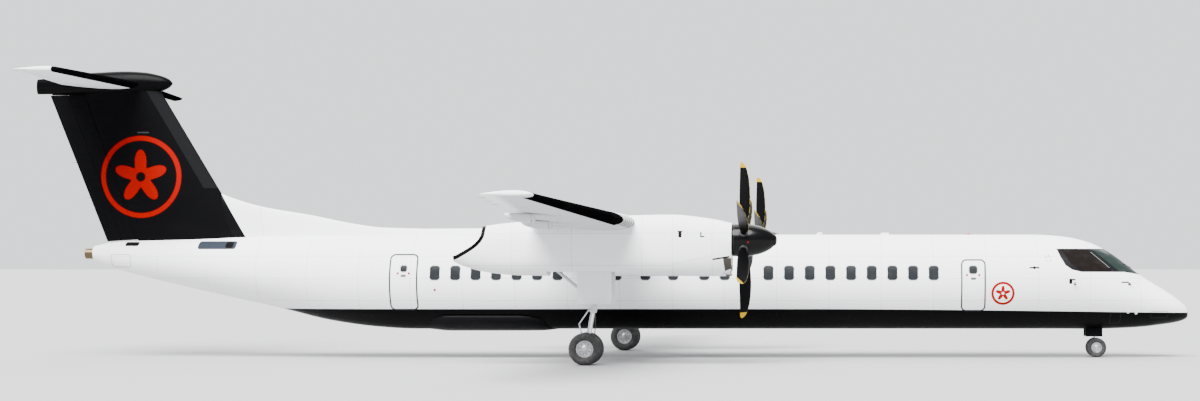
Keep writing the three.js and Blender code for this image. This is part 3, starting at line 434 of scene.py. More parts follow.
class Value:
    """A number that varies over a surface: a shader socket that takes part in sums."""

    def __init__(self, sheet, socket):
        self.sheet, self.socket = sheet, socket

    __add__ = __radd__ = joined_by("ADD")
    __sub__ = joined_by("SUBTRACT")
    __mul__ = __rmul__ = joined_by("MULTIPLY")
    __truediv__ = joined_by("DIVIDE")
    __pow__ = joined_by("POWER")
    most = joined_by("MAXIMUM")
    least = joined_by("MINIMUM")

    def __abs__(self):
        return self.sheet.maths("ABSOLUTE", self)

    def nearest(self, pitch):
        """Distance to the nearest multiple of a pitch."""
        return self.sheet.maths("PINGPONG", abs(self), pitch / 2)


class Finish:
    """A material in the making, with the piece's own coordinates in metres."""

    def __init__(self, slot_values=None, coat=0.0):
        self.material = bpy.data.materials.new("finish")
        self.material.use_nodes = True
        self.tree = self.material.node_tree
        self.tree.nodes.clear()
        output = self.node("ShaderNodeOutputMaterial")
        self.shader = self.node("ShaderNodeBsdfPrincipled")
        self.tree.links.new(self.shader.outputs["BSDF"], output.inputs["Surface"])
        self.place = self.node("ShaderNodeTexCoord").outputs["Object"]
        parts = self.node("ShaderNodeSeparateXYZ", values={"Vector": self.place})
        self.x, self.y, self.z = (Value(self, parts.outputs[i]) for i in range(3))
        self.height = self.z - CENTRE_Z
        for key, value in {"Coat Weight": coat, "Coat Roughness": 0.08, **(slot_values or {})}.items():
            self.set(key, value)

    def node(self, kind, settings=None, values=None):
        made = self.tree.nodes.new(kind)
        for key, value in (settings or {}).items():
            setattr(made, key, value)
        for key, value in (values or {}).items():
            self.feed(made.inputs[key], value)
        return made

    def feed(self, socket, value):
        if isinstance(value, Value):
            value = value.socket
        if isinstance(value, bpy.types.NodeSocket):
            self.tree.links.new(value, socket)
        elif socket.type == "RGBA" and len(value) == 3:
            socket.default_value = (*value, 1)
        else:
            socket.default_value = value

    def set(self, name, value):
        self.feed(self.shader.inputs[name], value)
        return self

    def maths(self, operation, *values):
        made = self.node("ShaderNodeMath", {"operation": operation}, dict(enumerate(values)))
        return Value(self, made.outputs[0])

    def smooth(self, value, low, high):
        """0 below low, 1 above high, and a soft step between."""
        made = self.node(
            "ShaderNodeMapRange", {"interpolation_type": "SMOOTHSTEP"},
            {"Value": value, "From Min": low, "From Max": high},
        )
        return Value(self, made.outputs["Result"])

    def noise(self, scale, detail=3.0, stretch=(1, 1, 1)):
        """Soft noise from 0 to 1 over the piece, stretched along the axes."""
        place = self.node(
            "ShaderNodeMapping", values={"Vector": self.place, "Scale": stretch},
        ).outputs["Vector"]
        made = self.node("ShaderNodeTexNoise", values={"Vector": place, "Scale": scale, "Detail": detail})
        return Value(self, made.outputs["Fac"])

    def inside(self, distance, soft):
        """1 where a distance is negative."""
        return self.smooth(distance, soft, -soft)

    def line(self, distance, width, soft=0.004):
        """1 where a distance is less than half a line's width."""
        return self.smooth(abs(distance), width / 2 + soft, width / 2 - soft)

    def root(self, a, b):
        return (a * a + b * b) ** 0.5

    def frame(self, x0, x1, z0, z1, corner):
        """Distance in the side view to a rectangle with round corners, negative inside."""
        du = abs(self.x - (x0 + x1) / 2) - ((x1 - x0) / 2 - corner)
        dv = abs(self.height - (z0 + z1) / 2) - ((z1 - z0) / 2 - corner)
        return self.root(du.most(0), dv.most(0)) + du.most(dv).least(0) - corner

    def bar(self, start, end):
        """Distance in the side view to a straight line between two points."""
        (x0, z0), (x1, z1) = start, end
        dx, dz = x1 - x0, z1 - z0
        u, v = self.x - x0, self.height - z0
        t = ((u * dx + v * dz) / (dx * dx + dz * dz)).most(0).least(1)
        return self.root(u - t * dx, v - t * dz)

    def within(self, outline):
        """Distance in the side view to a convex outline that runs clockwise, negative inside."""
        far = []
        for (x0, z0), (x1, z1) in zip(outline, outline[1:] + outline[:1]):
            dx, dz = x1 - x0, z1 - z0
            far.append(((self.height - z0) * dx - (self.x - x0) * dz) / hypot(dx, dz))
        return reduce(Value.most, far)

    def paint(self, base, *layers):
        """A colour with others laid over it, each with its mask."""
        colour = base
        for mask, over in layers:
            made = self.node("ShaderNodeMix", {"data_type": "RGBA"}, {0: mask, 6: colour, 7: over})
            colour = made.outputs[2]
        return colour

    def look(self, base, layers, roughness, height=None, depth=0.0):
        """Sets the colour with its layers, the roughness and the bumps."""
        self.set("Base Color", self.paint(base, *layers))
        self.set("Roughness", roughness)
        if height is not None:
            values = {"Height": height, "Distance": depth, "Strength": 1.0}
            self.set("Normal", self.node("ShaderNodeBump", values=values).outputs["Normal"])
        return self


def colours():
    """The colours set in the panel."""
    return bpy.context.scene.airliner_colours


def sizes():
    return bpy.context.scene.airliner_sizes


SEAM_TONE = (0.002, 0.002, 0.002)
DIRT_TONE = (0.05, 0.046, 0.04)


def enamel(base, layers=(), roughness=0.3, seams=None, grime=0.12, shine=0.03):
    """Sprayed enamel: faint orange peel, seams between panels, thin dirt drawn out by the air."""
    sheet = Finish({"Specular IOR Level": shine})
    streaks, cloud = sheet.noise(1.1, 5, (0.35, 2.2, 2.6)), sheet.noise(0.45, 2)
    dirt = sheet.smooth(streaks * 0.75 + cloud * 0.25, 0.5, 0.8) * grime
    peel = sheet.noise(260, 1) * 0.02
    stack = [(mask(sheet), colour) for mask, colour in layers]
    if seams:
        seam = seams(sheet)
        stack.append((seam * 0.34, SEAM_TONE))
        peel = peel - seam
    stack.append((dirt * 0.6, DIRT_TONE))
    return sheet.look(base, stack, sheet.noise(3.0, 4) * 0.14 + (roughness - 0.07), peel, 0.0015)


def seam_grid(x_pitch, z_pitch, x_start=0.0, z_start=0.0, width=0.01):
    """Seams between skin panels: rings every x_pitch and lengthwise laps every z_pitch."""
    def seams(sheet):
        rings = sheet.line((sheet.x - x_start).nearest(x_pitch), width)
        laps = sheet.line((sheet.height - z_start).nearest(z_pitch), width)
        return rings.most(laps)
    return seams


# Fuselage

# Row: x, top, bottom, half width, height of the widest line
FUSELAGE_ROWS = [
    (NOSE_X, -0.925, -0.9251, 0.0001, -0.925),
    (NOSE_X - 0.02, -0.8, -1.015, 0.115, -0.918),
    (NOSE_X - 0.173, -0.6, -1.111, 0.33, -0.85),
    (NOSE_X - 0.45, -0.385, -1.18, 0.545, -0.77),
    (NOSE_X - 0.795, -0.168, -1.228, 0.72, -0.68),
    (NOSE_X - 1.381, 0.197, -1.296, 0.91, -0.52),
    (NOSE_X - 2.394, 0.922, -1.342, 1.155, -0.24),
    (NOSE_X - 2.88, 1.139, -1.35, 1.24, -0.13),
    (NOSE_X - 3.594, 1.291, -1.345, 1.315, -0.04),
    (NOSE_X - 4.5, CABIN_RADIUS, -CABIN_RADIUS, CABIN_RADIUS, 0),
    (-5.6, CABIN_RADIUS, -CABIN_RADIUS, CABIN_RADIUS, 0),
    (-6.58, 1.335, -1.294, 1.335, 0.01),
    (-7.944, 1.32, -1.114, 1.285, 0.09),
    (-9.452, 1.3, -0.748, 1.13, 0.25),
    (-11.222, 1.259, -0.354, 0.88, 0.43),
    (-13.424, 1.182, 0.16, 0.5, 0.66),
    (-14.226, 1.131, 0.377, 0.35, 0.75),
    (-14.78, 1.017, 0.588, 0.205, 0.805),
]
HULL = Hull(FUSELAGE_ROWS, key=lambda x: -sqrt(NOSE_X - x))
NOSE_STATIONS = [NOSE_X - (0.07 * i) ** 2 for i in range(31)]
HULL_STATIONS = [
    *NOSE_STATIONS, *spread(11.75, -5.25, 18), *spread(-5.6, -14.4, 31), *spread(-14.55, -14.78, 5),
]
COCKPIT_STATIONS = HULL_STATIONS[8:33]

# Outlines in the side view
SIDE_PANE = [(12.7, 0.9), (12.96, 0.512), (13.24, 0.305), (14.16, 0.3), (13.46, 0.9)]
WINDSHIELD = [(13.58, 0.92), (14.33, 0.3), (15.034, 0.197), (15.09, 0.28), (14.75, 0.61), (14.03, 0.925)]
WINDSHIELD_POST = 0.045
PANE_THICKNESS = 0.025
# The black surround, as two convex outlines
GLAZING = (
    [(12.565, 0.935), (14.00, 0.935), (14.7, 0.42), (14.66, 0.275), (13.24, 0.28), (12.97, 0.345),
     (12.79, 0.47), (12.665, 0.69)],
    [(14.62, 0.47), (15.055, 0.19), (14.62, 0.28)],
)
POST_LINE = ((13.55, 0.82), (14.04, 0.4))

# Row: node, side, x range, z range, window (x, z, half width, half height), body
DOORS = [
    ("airstair_door", 1, (10.25, 11.01), (-0.86, 0.79), None, "airstair"),
    ("exit_door_front", -1, (9.89, 10.54), (-0.802, 0.617), (10.208, 0.341, 0.113, 0.113), "airframe"),
    ("passenger_door_rear", 1, (-6.055, -5.3), (-0.802, 0.765), (-5.671, 0.374, 0.09, 0.09), "airframe"),
    ("service_door_rear", -1, (-6.055, -5.3), (-0.772, 0.765), (-5.671, 0.374, 0.09, 0.09), "airframe"),
    ("baggage_door", 1, (-8.35, -7.08), (-0.42, 0.7), None, "airframe"),
]
DOOR_CORNER = 0.13
DOOR_THICKNESS = 0.14
DOOR_GAP = 0.007
STAIR_GAP = 0.012
STAIR_HINGE = (1.06, -0.885)
BELLY_LINE = -0.757
BELLY_DROP = -0.122
BELLY_BEND = (6.0, 10.4)
TAIL_PIPE_Z = 0.8


def round_outline(x0, x1, z0, z1, corner, steps=5):
    """A rectangle with round corners, anticlockwise."""
    points = []
    for cx, cz, start in (
        (x1 - corner, z1 - corner, 0), (x0 + corner, z1 - corner, 1),
        (x0 + corner, z0 + corner, 2), (x1 - corner, z0 + corner, 3),
    ):
        for i in range(steps + 1):
            turn = (start + i / steps) * pi / 2
            points.append((cx + corner * cos(turn), cz + corner * sin(turn)))
    return points


def flank_prism(outline, side, depth=0.3):
    """A prism of an outline through one flank of the fuselage."""
    return side_prism(outline, *sorted((side * depth, side * 1.6)))


def stair_sill(x0, x1):
    """What the airstair's sill leaves out: everything under the line from the hull's axis to its hinge."""
    y, z = STAIR_HINGE
    low = [(0.0, 0.0), (1.5 * y, 1.5 * z), (1.5 * y - 0.6, 1.5 * z - 0.7), (-0.45, -0.54)]
    return loft([[spot(x, *corner) for corner in low] for x in (x0 - 0.02, x1 + 0.02)])


def hull_body(grow=0.0):
    return HULL.body([x for x in HULL_STATIONS if HULL.section(x)[2] + grow > 0.02], 96, grow)


def belly_mask(sheet):
    """The black belly below a line that drops a little towards the nose."""
    start, length = BELLY_BEND
    ahead = ((sheet.x - start) / length).most(0) ** 1.5
    return sheet.inside(sheet.height - BELLY_LINE - ahead * BELLY_DROP, 0.006)


def door_mask(sheet):
    """Thin grey frames painted round the doors."""
    masks = []
    for node, side, xs, zs, *rest in DOORS:
        edge = sheet.line(sheet.frame(*xs, *zs, DOOR_CORNER), 0.042, 0.006)
        masks.append(edge * sheet.smooth(sheet.y * side, 0.1, 0.2))
    return reduce(Value.most, masks)


def glazing_mask(sheet):
    rear, front = map(sheet.within, GLAZING)
    return sheet.inside(rear.least(front), 0.006)


def post_mask(sheet):
    return sheet.smooth(sheet.bar(*POST_LINE), 0.017, 0.01)


def rosette_mask(x, z, radius, width=0.12, left=0.0):
    """A plain ring round a five-petalled rosette; the left side's stands a little further forward."""
    def mask(sheet):
        u, v = sheet.x - x - sheet.smooth(sheet.y, 0.0, 0.1) * left, sheet.height - z
        far = sheet.root(u, v) / radius
        petals = sheet.maths("COSINE", sheet.maths("ARCTAN2", u, v) * 5) * 0.2 + 0.46
        inner = sheet.inside(far - petals, 0.012) * sheet.smooth(far, 0.1, 0.13)
        return sheet.line(far - 1 + width / 2, width, 0.008).most(inner)
    return mask


# Small marks on the right flank and their mirror images: x, z, half width, half height
RED_MARKS = [
    (-5.83, 0.24, 0.03, 0.03), (-5.522, 0.24, 0.03, 0.03), (-4.8, -0.222, 0.032, 0.032),
    (10.035, 0.193, 0.03, 0.03), (10.379, 0.193, 0.03, 0.03),
]
DARK_MARKS = [
    (11.92, 0.4, 0.14, 0.022), (11.92, 0.4, 0.03, 0.045), (14.49, -0.01, 0.11, 0.02),
    (12.93, 0.02, 0.045, 0.075), (12.98, 0.065, 0.09, 0.022), (-13.61, 1.07, 0.2, 0.06),
    (-10.735, 1.04, 0.11, 0.085), (12.25, 0.69, 0.016, 0.016), (12.32, 0.73, 0.012, 0.03),
    (12.39, 0.69, 0.016, 0.016), (12.28, 0.59, 0.012, 0.016), (12.37, 0.6, 0.012, 0.016),
]
GREY_MARKS = [(-11.09, 1.034, 0.556, 0.115)]
# Service hatches low on the nose and on the tail cone: x range, z range
HATCHES = [(14.09, 14.385, -1.165, -0.87), (15.25, 15.75, -1.01, -0.84), (-14.19, -13.61, 0.42, 0.77)]


def marks_mask(marks, corner=0.6):
    def mask(sheet):
        return reduce(Value.most, [
            sheet.inside(sheet.frame(x - u, x + u, z - v, z + v, min(u, v) * corner), 0.004)
            for x, z, u, v in marks
        ])
    return mask


def hatch_mask(sheet):
    return reduce(Value.most, [sheet.line(sheet.frame(*hatch, 0.04), 0.012) for hatch in HATCHES])


def fuselage_paint():
    tone = colours()
    return enamel(
        tone.white,
        [
            (belly_mask, tone.black), (door_mask, (0.016, 0.017, 0.019)), (hatch_mask, (0.018, 0.018, 0.019)),
            (glazing_mask, (0.008, 0.008, 0.009)), (post_mask, (0.16, 0.165, 0.17)),
            (marks_mask(GREY_MARKS), (0.022, 0.027, 0.036)), (marks_mask(RED_MARKS), tone.red),
            (marks_mask(DARK_MARKS), (0.004, 0.004, 0.004)),
            (rosette_mask(11.04, -0.315, 0.328, 0.22, 0.5), tone.red),
        ],
        seams=seam_grid(1.46, 0.62, 0.35, 0.1),
    )


def flush(outline, side, offset):
    """Points of an outline laid on the fuselage's skin, lifted off it by an offset."""
    places = [HULL.skin(x, z, side) for x, z in outline]
    return [point + offset * normal for point, normal in places]


def inlay(outline, side, *lifts):
    """A thin solid that follows the skin, between lifts off it."""
    return loft([flush(outline, side, lift) for lift in lifts])


def around(x, z, u, v, corner):
    """A rectangle with round corners from its middle and its half width and height."""
    return round_outline(x - u, x + u, z - v, z + v, corner)


def window_outline(x, z, u, v, grow=0.0):
    return around(x, z, u + grow, v + grow, min(u, v) * 0.62 + grow)


def pane_slab(window, side, low=-0.016, high=-0.006):
    """A curved pane that follows the skin, a little below it."""
    x, z, u, v = window
    rings = [flush(window_outline(*window), side, low)]
    for share in (1.0, 0.7, 0.35):
        outline = [(mix(x, a, share), mix(z, b, share)) for a, b in window_outline(*window)]
        rings.append(flush(outline, side, high))
    rings.append(flush([(x, z)], side, high))
    return loft(rings)


def pane_rim(window, side, width=0.02):
    """The thin bright frame round a pane."""
    section = ((-0.0005, -0.014), (0.0, 0.0015), (width * 0.8, 0.0025), (width, -0.002), (width, -0.012))
    return loops_solid([flush(window_outline(*window, grow=out), side, lift) for out, lift in section])


def pane_recess(window, side):
    return inlay(window_outline(*window), side, -0.018, 0.04)


def repeat_tree():
    """Nodes that repeat a shape along a line or round an axis: windows, wheel nuts."""
    tree = bpy.data.node_groups.new("repeat", "GeometryNodeTree")
    for name, way, kind in (
        ("Geometry", "INPUT", "Geometry"), ("Count", "INPUT", "Int"), ("Start", "INPUT", "Vector"),
        ("Pitch", "INPUT", "Vector"), ("Axis", "INPUT", "Vector"), ("Finish", "INPUT", "Material"),
        ("Geometry", "OUTPUT", "Geometry"),
    ):
        tree.interface.new_socket(name, in_out=way, socket_type="NodeSocket" + kind)

    def add(kind, wires, **settings):
        node = tree.nodes.new(kind)
        for key, value in settings.items():
            setattr(node, key, value)
        for key, source in wires.items():
            tree.links.new(source, node.inputs[key])
        return node.outputs

    given = add("NodeGroupInput", {})
    line = add("GeometryNodeMeshLine", {
        "Count": given["Count"], "Start Location": given["Start"], "Offset": given["Pitch"],
    }, mode="OFFSET")
    order = add("GeometryNodeInputIndex", {})
    share = add("ShaderNodeMath", {0: order[0], 1: given["Count"]}, operation="DIVIDE")
    angle = add("ShaderNodeMath", {0: share[0]}, operation="MULTIPLY")
    angle[0].node.inputs[1].default_value = 2 * pi
    turn = add("FunctionNodeAxisAngleToRotation", {"Axis": given["Axis"], "Angle": angle[0]})
    copies = add("GeometryNodeInstanceOnPoints", {
        "Points": line[0], "Instance": given["Geometry"], "Rotation": turn[0],
    })
    solid = add("GeometryNodeRealizeInstances", {"Geometry": copies[0]})
    coat = add("GeometryNodeSetMaterial", {"Geometry": solid[0], "Material": given["Finish"]})
    add("NodeGroupOutput", {"Geometry": coat[0]})
    return tree


def repeat(piece, finish_name, **inputs):
    """Puts the repeating tree on a piece, with its inputs set by name, and settles it."""
    tree = bpy.data.node_groups.get("repeat") or repeat_tree()
    modifier = piece.modifiers.new("repeat", "NODES")
    modifier.node_group = tree
    inputs["Finish"] = finish(finish_name)
    for item in tree.interface.items_tree:
        if item.in_out == "INPUT" and item.name in inputs:
            modifier[item.identifier] = inputs[item.name]
    return settle(piece)


# Cabin windows, the same on both sides: first x, count, pitch
WINDOW_RUNS = [
    (-4.801, 7, 0.5714), (0.264, 1, 1), (1.072, 1, 1), (1.847, 1, 1), (2.714, 1, 1), (3.285, 1, 1),
    (4.5, 9, 0.576),
]
WINDOW_HEIGHT = 0.254


class AIRLINER_OT_fuselage(bpy.types.Operator):
    """Build the smooth fuselage skin with its doors, cockpit, nose bay and tail socket"""
    bl_idname = "airliner.fuselage"
    bl_label = "Fuselage and doors"

    def execute(self, context):
        thin = HULL.body(COCKPIT_STATIONS, 48, -0.09)
        tools = [
            clip(thin, raised((12.3, 15.1), (-1.3, 1.3), (-0.43, 1.25))),
            block((13.44, 13.96), (-0.22, 0.22), (0.7, CENTRE_Z - 0.8)),
            rod(spot(-14.7, 0, TAIL_PIPE_Z), spot(-15.3, 0, TAIL_PIPE_Z), 0.152, sides=48),
        ]
        whole = hull_body()
        core = hull_body(-DOOR_THICKNESS)
        for node, side, xs, zs, window, body in DOORS:
            leaf = flank_prism(round_outline(*xs, *zs, DOOR_CORNER, 8), side)
            cut(clip(leaf, whole, keep=True), core, keep=True)
            room = DOOR_GAP
            if node == "airstair_door":
                room = STAIR_GAP
                cut(leaf, stair_sill(*xs))
            (x0, x1), (z0, z1) = xs, zs
            wide = round_outline(x0 - room, x1 + room, z0 - room, z1 + room, DOOR_CORNER + room, 8)
            tools.append(cut(flank_prism(wide, side), core, keep=True))
            if window:
                cut(leaf, pane_recess(window, side))
            parts = [painted(leaf, "fuselage_paint"), *door_fittings(node, side, xs, zs, window)]
            dress(gather(*parts), node + "_skin", body, "white_paint", node)
        skin = hull_body()
        tools += glass_openings()
        tools += [pane_recess(window, side) for window in all_windows() for word, side in SIDES]
        discard(whole, core)
        cut(skin, *tools)
        dress(painted(skin, "fuselage_paint"), "fuselage_skin", "airframe", "white_paint", "fuselage")
        return {"FINISHED"}


def window_at(x):
    """A cabin window's middle, half width and half height."""
    size = sizes()
    return x, WINDOW_HEIGHT, size.window_width / 2, size.window_height / 2


def all_windows():
    return [window_at(start + i * pitch) for start, count, pitch in WINDOW_RUNS for i in range(count)]


def glass_openings(shrink=0.0):
    return [
        flank_prism(inset(outline, shrink), side, depth)
        for word, side in SIDES
        for outline, depth in ((WINDSHIELD, WINDSHIELD_POST + shrink), (SIDE_PANE, 0.3))
    ]


def inset(outline, distance):
    """An outline that runs anticlockwise, moved inwards by a distance."""
    edges = []
    for (x0, z0), (x1, z1) in zip(outline, outline[1:] + outline[:1]):
        long = hypot(x1 - x0, z1 - z0)
        edges.append((x0 - (z1 - z0) / long * distance, z0 + (x1 - x0) / long * distance, x1 - x0, z1 - z0))
    points = []
    for a, b in zip([edges[-1]] + edges[:-1], edges):
        t = ((b[0] - a[0]) * b[3] - (b[1] - a[1]) * b[2]) / (a[2] * b[3] - a[3] * b[2])
        points.append((a[0] + a[2] * t, a[1] + a[3] * t))
    return points


def door_fittings(node, side, xs, zs, window):
    """A door's pane with its frame, its handle in a dark cup, and the airstair's treads."""
    parts = []
    if window:
        parts.append(painted(pane_slab(window, side), "cabin_glass"))
        parts.append(painted(pane_rim(window, side), "window_frame"))
    x, z = sum(xs) / 2, 0.096 if window and window[2] > 0.1 else 0.176
    cup = inlay(around(x, z, 0.075, 0.032, 0.03), side, -0.004, 0.0012)
    bar = inlay(around(x, z, 0.065, 0.011, 0.01), side, 0.0, 0.01)
    parts += [painted(cup, "dark_rubber"), painted(bar, "brake")]
    if node == "airstair_door":
        for z in spread(-0.66, 0.52, 5):
            tread = raised((xs[0] + 0.1, xs[1] - 0.1), (0.98, 1.13), (z, z + 0.03))
            parts.append(painted(rounded(tread, 0.006), "bare_metal"))
    return parts


class AIRLINER_OT_glazing(bpy.types.Operator):
    """Set the cockpit panes and the rows of cabin windows into the skin"""
    bl_idname = "airliner.glazing"
    bl_label = "Cockpit panes and cabin windows"

    def execute(self, context):
        whole = hull_body()
        core = hull_body(-PANE_THICKNESS)
        names = ["windshield_left", "side_pane_left", "windshield_right", "side_pane_right"]
        for name, prism in zip(names, glass_openings(0.004)):
            pane = cut(clip(prism, whole, keep=True), core, keep=True)
            tinted = "windshield_glass" if name.startswith("windshield") else "cockpit_glass"
            dress(painted(pane, tinted), name + "_pane", "airframe", "dark_glass", name)
        discard(whole, core)
        for word, side in SIDES:
            for label, maker, finish_name, slot in (
                ("panes", pane_slab, "cabin_glass", "dark_glass"),
                ("rims", pane_rim, "window_frame", "white_paint"),
            ):
                rows = [
                    repeat(maker(window_at(0.0), side), finish_name,
                           Count=count, Start=(start, 0, 0), Pitch=(pitch, 0, 0))
                    for start, count, pitch in WINDOW_RUNS
                ]
                name = f"cabin_window_{label}_{word}"
                dress(gather(*rows), name, "airframe", slot)
        return {"FINISHED"}


# Wing

WING_SHARES = [(1 - cos(pi * i / 20)) / 2 for i in range(20, -1, -1)]
WING_LEAD = (1.25, 0.0)
WING_CHORD = (2.8, 1.09)
WING_RATIO = (0.18, 0.13)
CAMBER = 0.015
WING_TIP = HALF_SPAN - 0.06
FLAP_X = -0.775
FLAP_DROP = 0.265
AILERON_X = -0.83
INNER_FLAP = (1.48, 3.77)
OUTER_FLAP = (5.06, 10.37)
AILERON = (10.46, 13.88)
SPOILER_X = (-0.69, -0.33)
SPOILER_Y = (5.35, 9.95)
SPOILER_THICK = 0.034
CLEARANCE = 0.008
ROOM = CLEARANCE + 0.006
# Row: y, front x, rear x of a fairing under the wing
TRACKS = [(6.7, 0.38, -1.48), (9.3, -0.06, -1.42)]


def half_depth(share, ratio):
    """Half the thickness of a wing section, as a share of its chord."""
    return 5 * ratio * (
        0.2969 * sqrt(share) - 0.126 * share - 0.3516 * share ** 2
        + 0.2843 * share ** 3 - 0.1015 * share ** 4
    )


def wing_ring(lead, chord, ratio, camber, up):
    """A wing section from its trailing edge over the top to the nose and back underneath."""
    def at(share, side):
        depth = half_depth(share, ratio) * chord
        rise = camber * 4 * share * (1 - share) * chord
        return lead + Vector((-share * chord, 0, 0)) + up * (rise + side * depth)

    upper = [at(share, 1) for share in WING_SHARES[:-1]]
    lower = [at(share, -1) for share in reversed(WING_SHARES[:-1])]
    return [*upper, lead, *lower]


def outboard(y):
    return max(0.0, (y - NACELLE_Y) / (HALF_SPAN - NACELLE_Y))


def wing_height(y):
    return WING_Z + max(0.0, y - NACELLE_Y) * tan(DIHEDRAL)


def wing_section(y, shrink=0.0, thin=1.0):
    t = outboard(y)
    lead = Vector((mix(*WING_LEAD, t) - shrink * 0.16, y, wing_height(y)))
    chord = mix(*WING_CHORD, t) - shrink * 0.2
    return wing_ring(lead, chord, mix(*WING_RATIO, t) * thin, CAMBER * thin, UP)


def on_wing(x, y):
    """A point on the section's mean line and the half thickness there."""
    t = outboard(y)
    chord = mix(*WING_CHORD, t)
    share = (mix(*WING_LEAD, t) - x) / chord
    rise = CAMBER * 4 * share * (1 - share) * chord
    return Vector((x, y, wing_height(y) + rise)), half_depth(share, mix(*WING_RATIO, t)) * chord


def tip_rows(start, end, thin):
    """Rows for a rounded tip: distance out, how far the ends draw in, share of the thickness."""
    drops = [(t, 1 - sqrt(1 - t * t)) for t in (0.35, 0.62, 0.82, 0.94, 1.0)]
    return [(mix(start, end, t), drop, mix(1.0, thin, drop)) for t, drop in drops]


def outer_wing_body():
    rings = [wing_section(y) for y in (4.395, 5.5, 7.0, 8.7, 10.4, 12.0, 13.3, WING_TIP - 0.06)]
    return loft(rings + [wing_section(*row) for row in tip_rows(WING_TIP - 0.06, HALF_SPAN, 0.3)])


def centre_wing_body():
    middle = wing_section(0.0)
    return loft([
        wing_section(y) if y > 0 else [Vector((p.x, y, p.z)) for p in middle] for y in (-4.4, 0.01, 4.4)
    ])


def behind(x, y0, y1, grow=0.0):
    """Everything behind a hinge line."""
    return raised((-2.6, x + grow), (y0 - grow, y1 + grow), (0.9, 2.7))


def hinge_cone(start, end, half0, half1, grow=0.0, more=0.0):
    """The round nose of a surface along its hinge line."""
    along = (end - start).normalized()
    lean = (half1 - half0) / (end - start).length
    return rod(
        start - more * along, end + more * along,
        half0 + grow - more * lean, half1 + grow + more * lean, sides=40,
    )


def track_fairing(y, front, rear):
    """A slim pod under the wing; its rear part moves with the flap."""
    top = wing_height(y) - 0.06 - CENTRE_Z
    low = wing_height(y) - FLAP_DROP - 0.028 - CENTRE_Z
    rings = []
    for i in range(25):
        x = mix(front, rear, (1 - cos(pi * i / 24)) / 2)
        deep = (front - x) / (front - FLAP_X) if x > FLAP_X else (x - rear) / (FLAP_X - rear)
        full = max(0.05, sqrt(max(0.0, min(1.0, deep) * (2 - min(1.0, deep)))))
        rings.append(oval(x, y, top, mix(top - 0.03, low, full), 0.095 * full, top - 0.06, 2, 24))
    return loft(rings)


def pivot(y):
    return Vector((FLAP_X, y, wing_height(y) - FLAP_DROP))


def widened(ends, room):
    return ends[0] - room, ends[1] + room


def both(piece, name, body, slot, node, sharp=32):
    """A left-hand piece and its mirror image on the right, each on its own body."""
    right = twin(piece, MIRROR)
    dress(piece, name + "_left", body.format("left"), slot, node.format("left"), sharp=sharp)
    dress(right, name + "_right", body.format("right"), slot, node.format("right"), sharp=sharp)


class AIRLINER_OT_wing(bpy.types.Operator):
    """Build the wing with its flaps, ailerons, spoilers and the fairings under it"""
    bl_idname = "airliner.wing"
    bl_label = "Wing and its surfaces"

    def execute(self, context):
        outer = outer_wing_body()
        tracks = [track_fairing(*row) for row in TRACKS]
        unite(outer, *[twin(track) for track in tracks])
        start, half0 = on_wing(AILERON_X, AILERON[0])
        end, half1 = on_wing(AILERON_X, AILERON[1])

        plain = outer_wing_body()
        flap = clip(twin(outer), behind(FLAP_X, *OUTER_FLAP))
        painted(flap, "wing_paint")
        both(flap, "outer_flap", "outer_flap_{}", "white_paint", "flap_outer_{}")

        aileron = clip(twin(plain), behind(AILERON_X, *AILERON))
        nose = clip(hinge_cone(start, end, half0 * 0.94, half1 * 0.94), plain, keep=True)
        painted(unite(aileron, nose), "wing_paint")
        both(aileron, "aileron_skin", "{}_aileron", "white_paint", "aileron_{}")

        low = twin(plain, Matrix.Translation((0, 0, -SPOILER_THICK)))
        region = raised(SPOILER_X, SPOILER_Y, (1.2, 2.6))
        spoiler = painted(cut(clip(region, plain, keep=True), low, keep=True), "wing_paint")
        both(spoiler, "spoiler_skin", "{}_spoiler", "white_paint", "spoiler_{}")

        low.data.transform(Matrix.Translation((0, 0, -CLEARANCE)))
        wide = raised(widened(SPOILER_X, CLEARANCE), widened(SPOILER_Y, CLEARANCE), (1.2, 2.6))
        cut(
            outer, behind(FLAP_X, *OUTER_FLAP, CLEARANCE), behind(AILERON_X, *AILERON, ROOM),
            hinge_cone(start, end, half0, half1, CLEARANCE, ROOM), cut(wide, low),
            *[rod(pivot(y - 0.12), pivot(y + 0.12), 0.0295) for y, front, rear in TRACKS],
        )
        painted(outer, "wing_paint")
        both(outer, "wing_skin", "airframe", "white_paint", "wing_outer_{}")
        discard(plain, *tracks)

        centre = centre_wing_body()
        inner = clip(twin(centre), behind(FLAP_X, *INNER_FLAP))
        arm = side_prism([
            (FLAP_X - 0.16, 1.52), (FLAP_X - 0.012, 1.52), (FLAP_X + 0.028, 1.56 - FLAP_DROP),
            (FLAP_X, 1.56 - FLAP_DROP - 0.028), (FLAP_X - 0.06, 1.56 - FLAP_DROP - 0.01),
        ], INNER_FLAP[1] - 0.03, INNER_FLAP[1])
        unite(inner, arm, rod(pivot(INNER_FLAP[1] - 0.01), pivot(NACELLE_Y - 0.5), 0.018))
        both(painted(inner, "wing_paint"), "inner_flap", "inner_flap_{}", "white_paint", "flap_inner_{}")
        gap = behind(FLAP_X, INNER_FLAP[0], INNER_FLAP[1] + 0.06, CLEARANCE)
        cut(centre, twin(gap, MIRROR), gap)
        dress(painted(centre, "wing_paint"), "centre_wing", "airframe", "white_paint", "wing_centre")
        return {"FINISHED"}


# Fairings on the fuselage
# Row: x, top, bottom, half width, height of the widest line

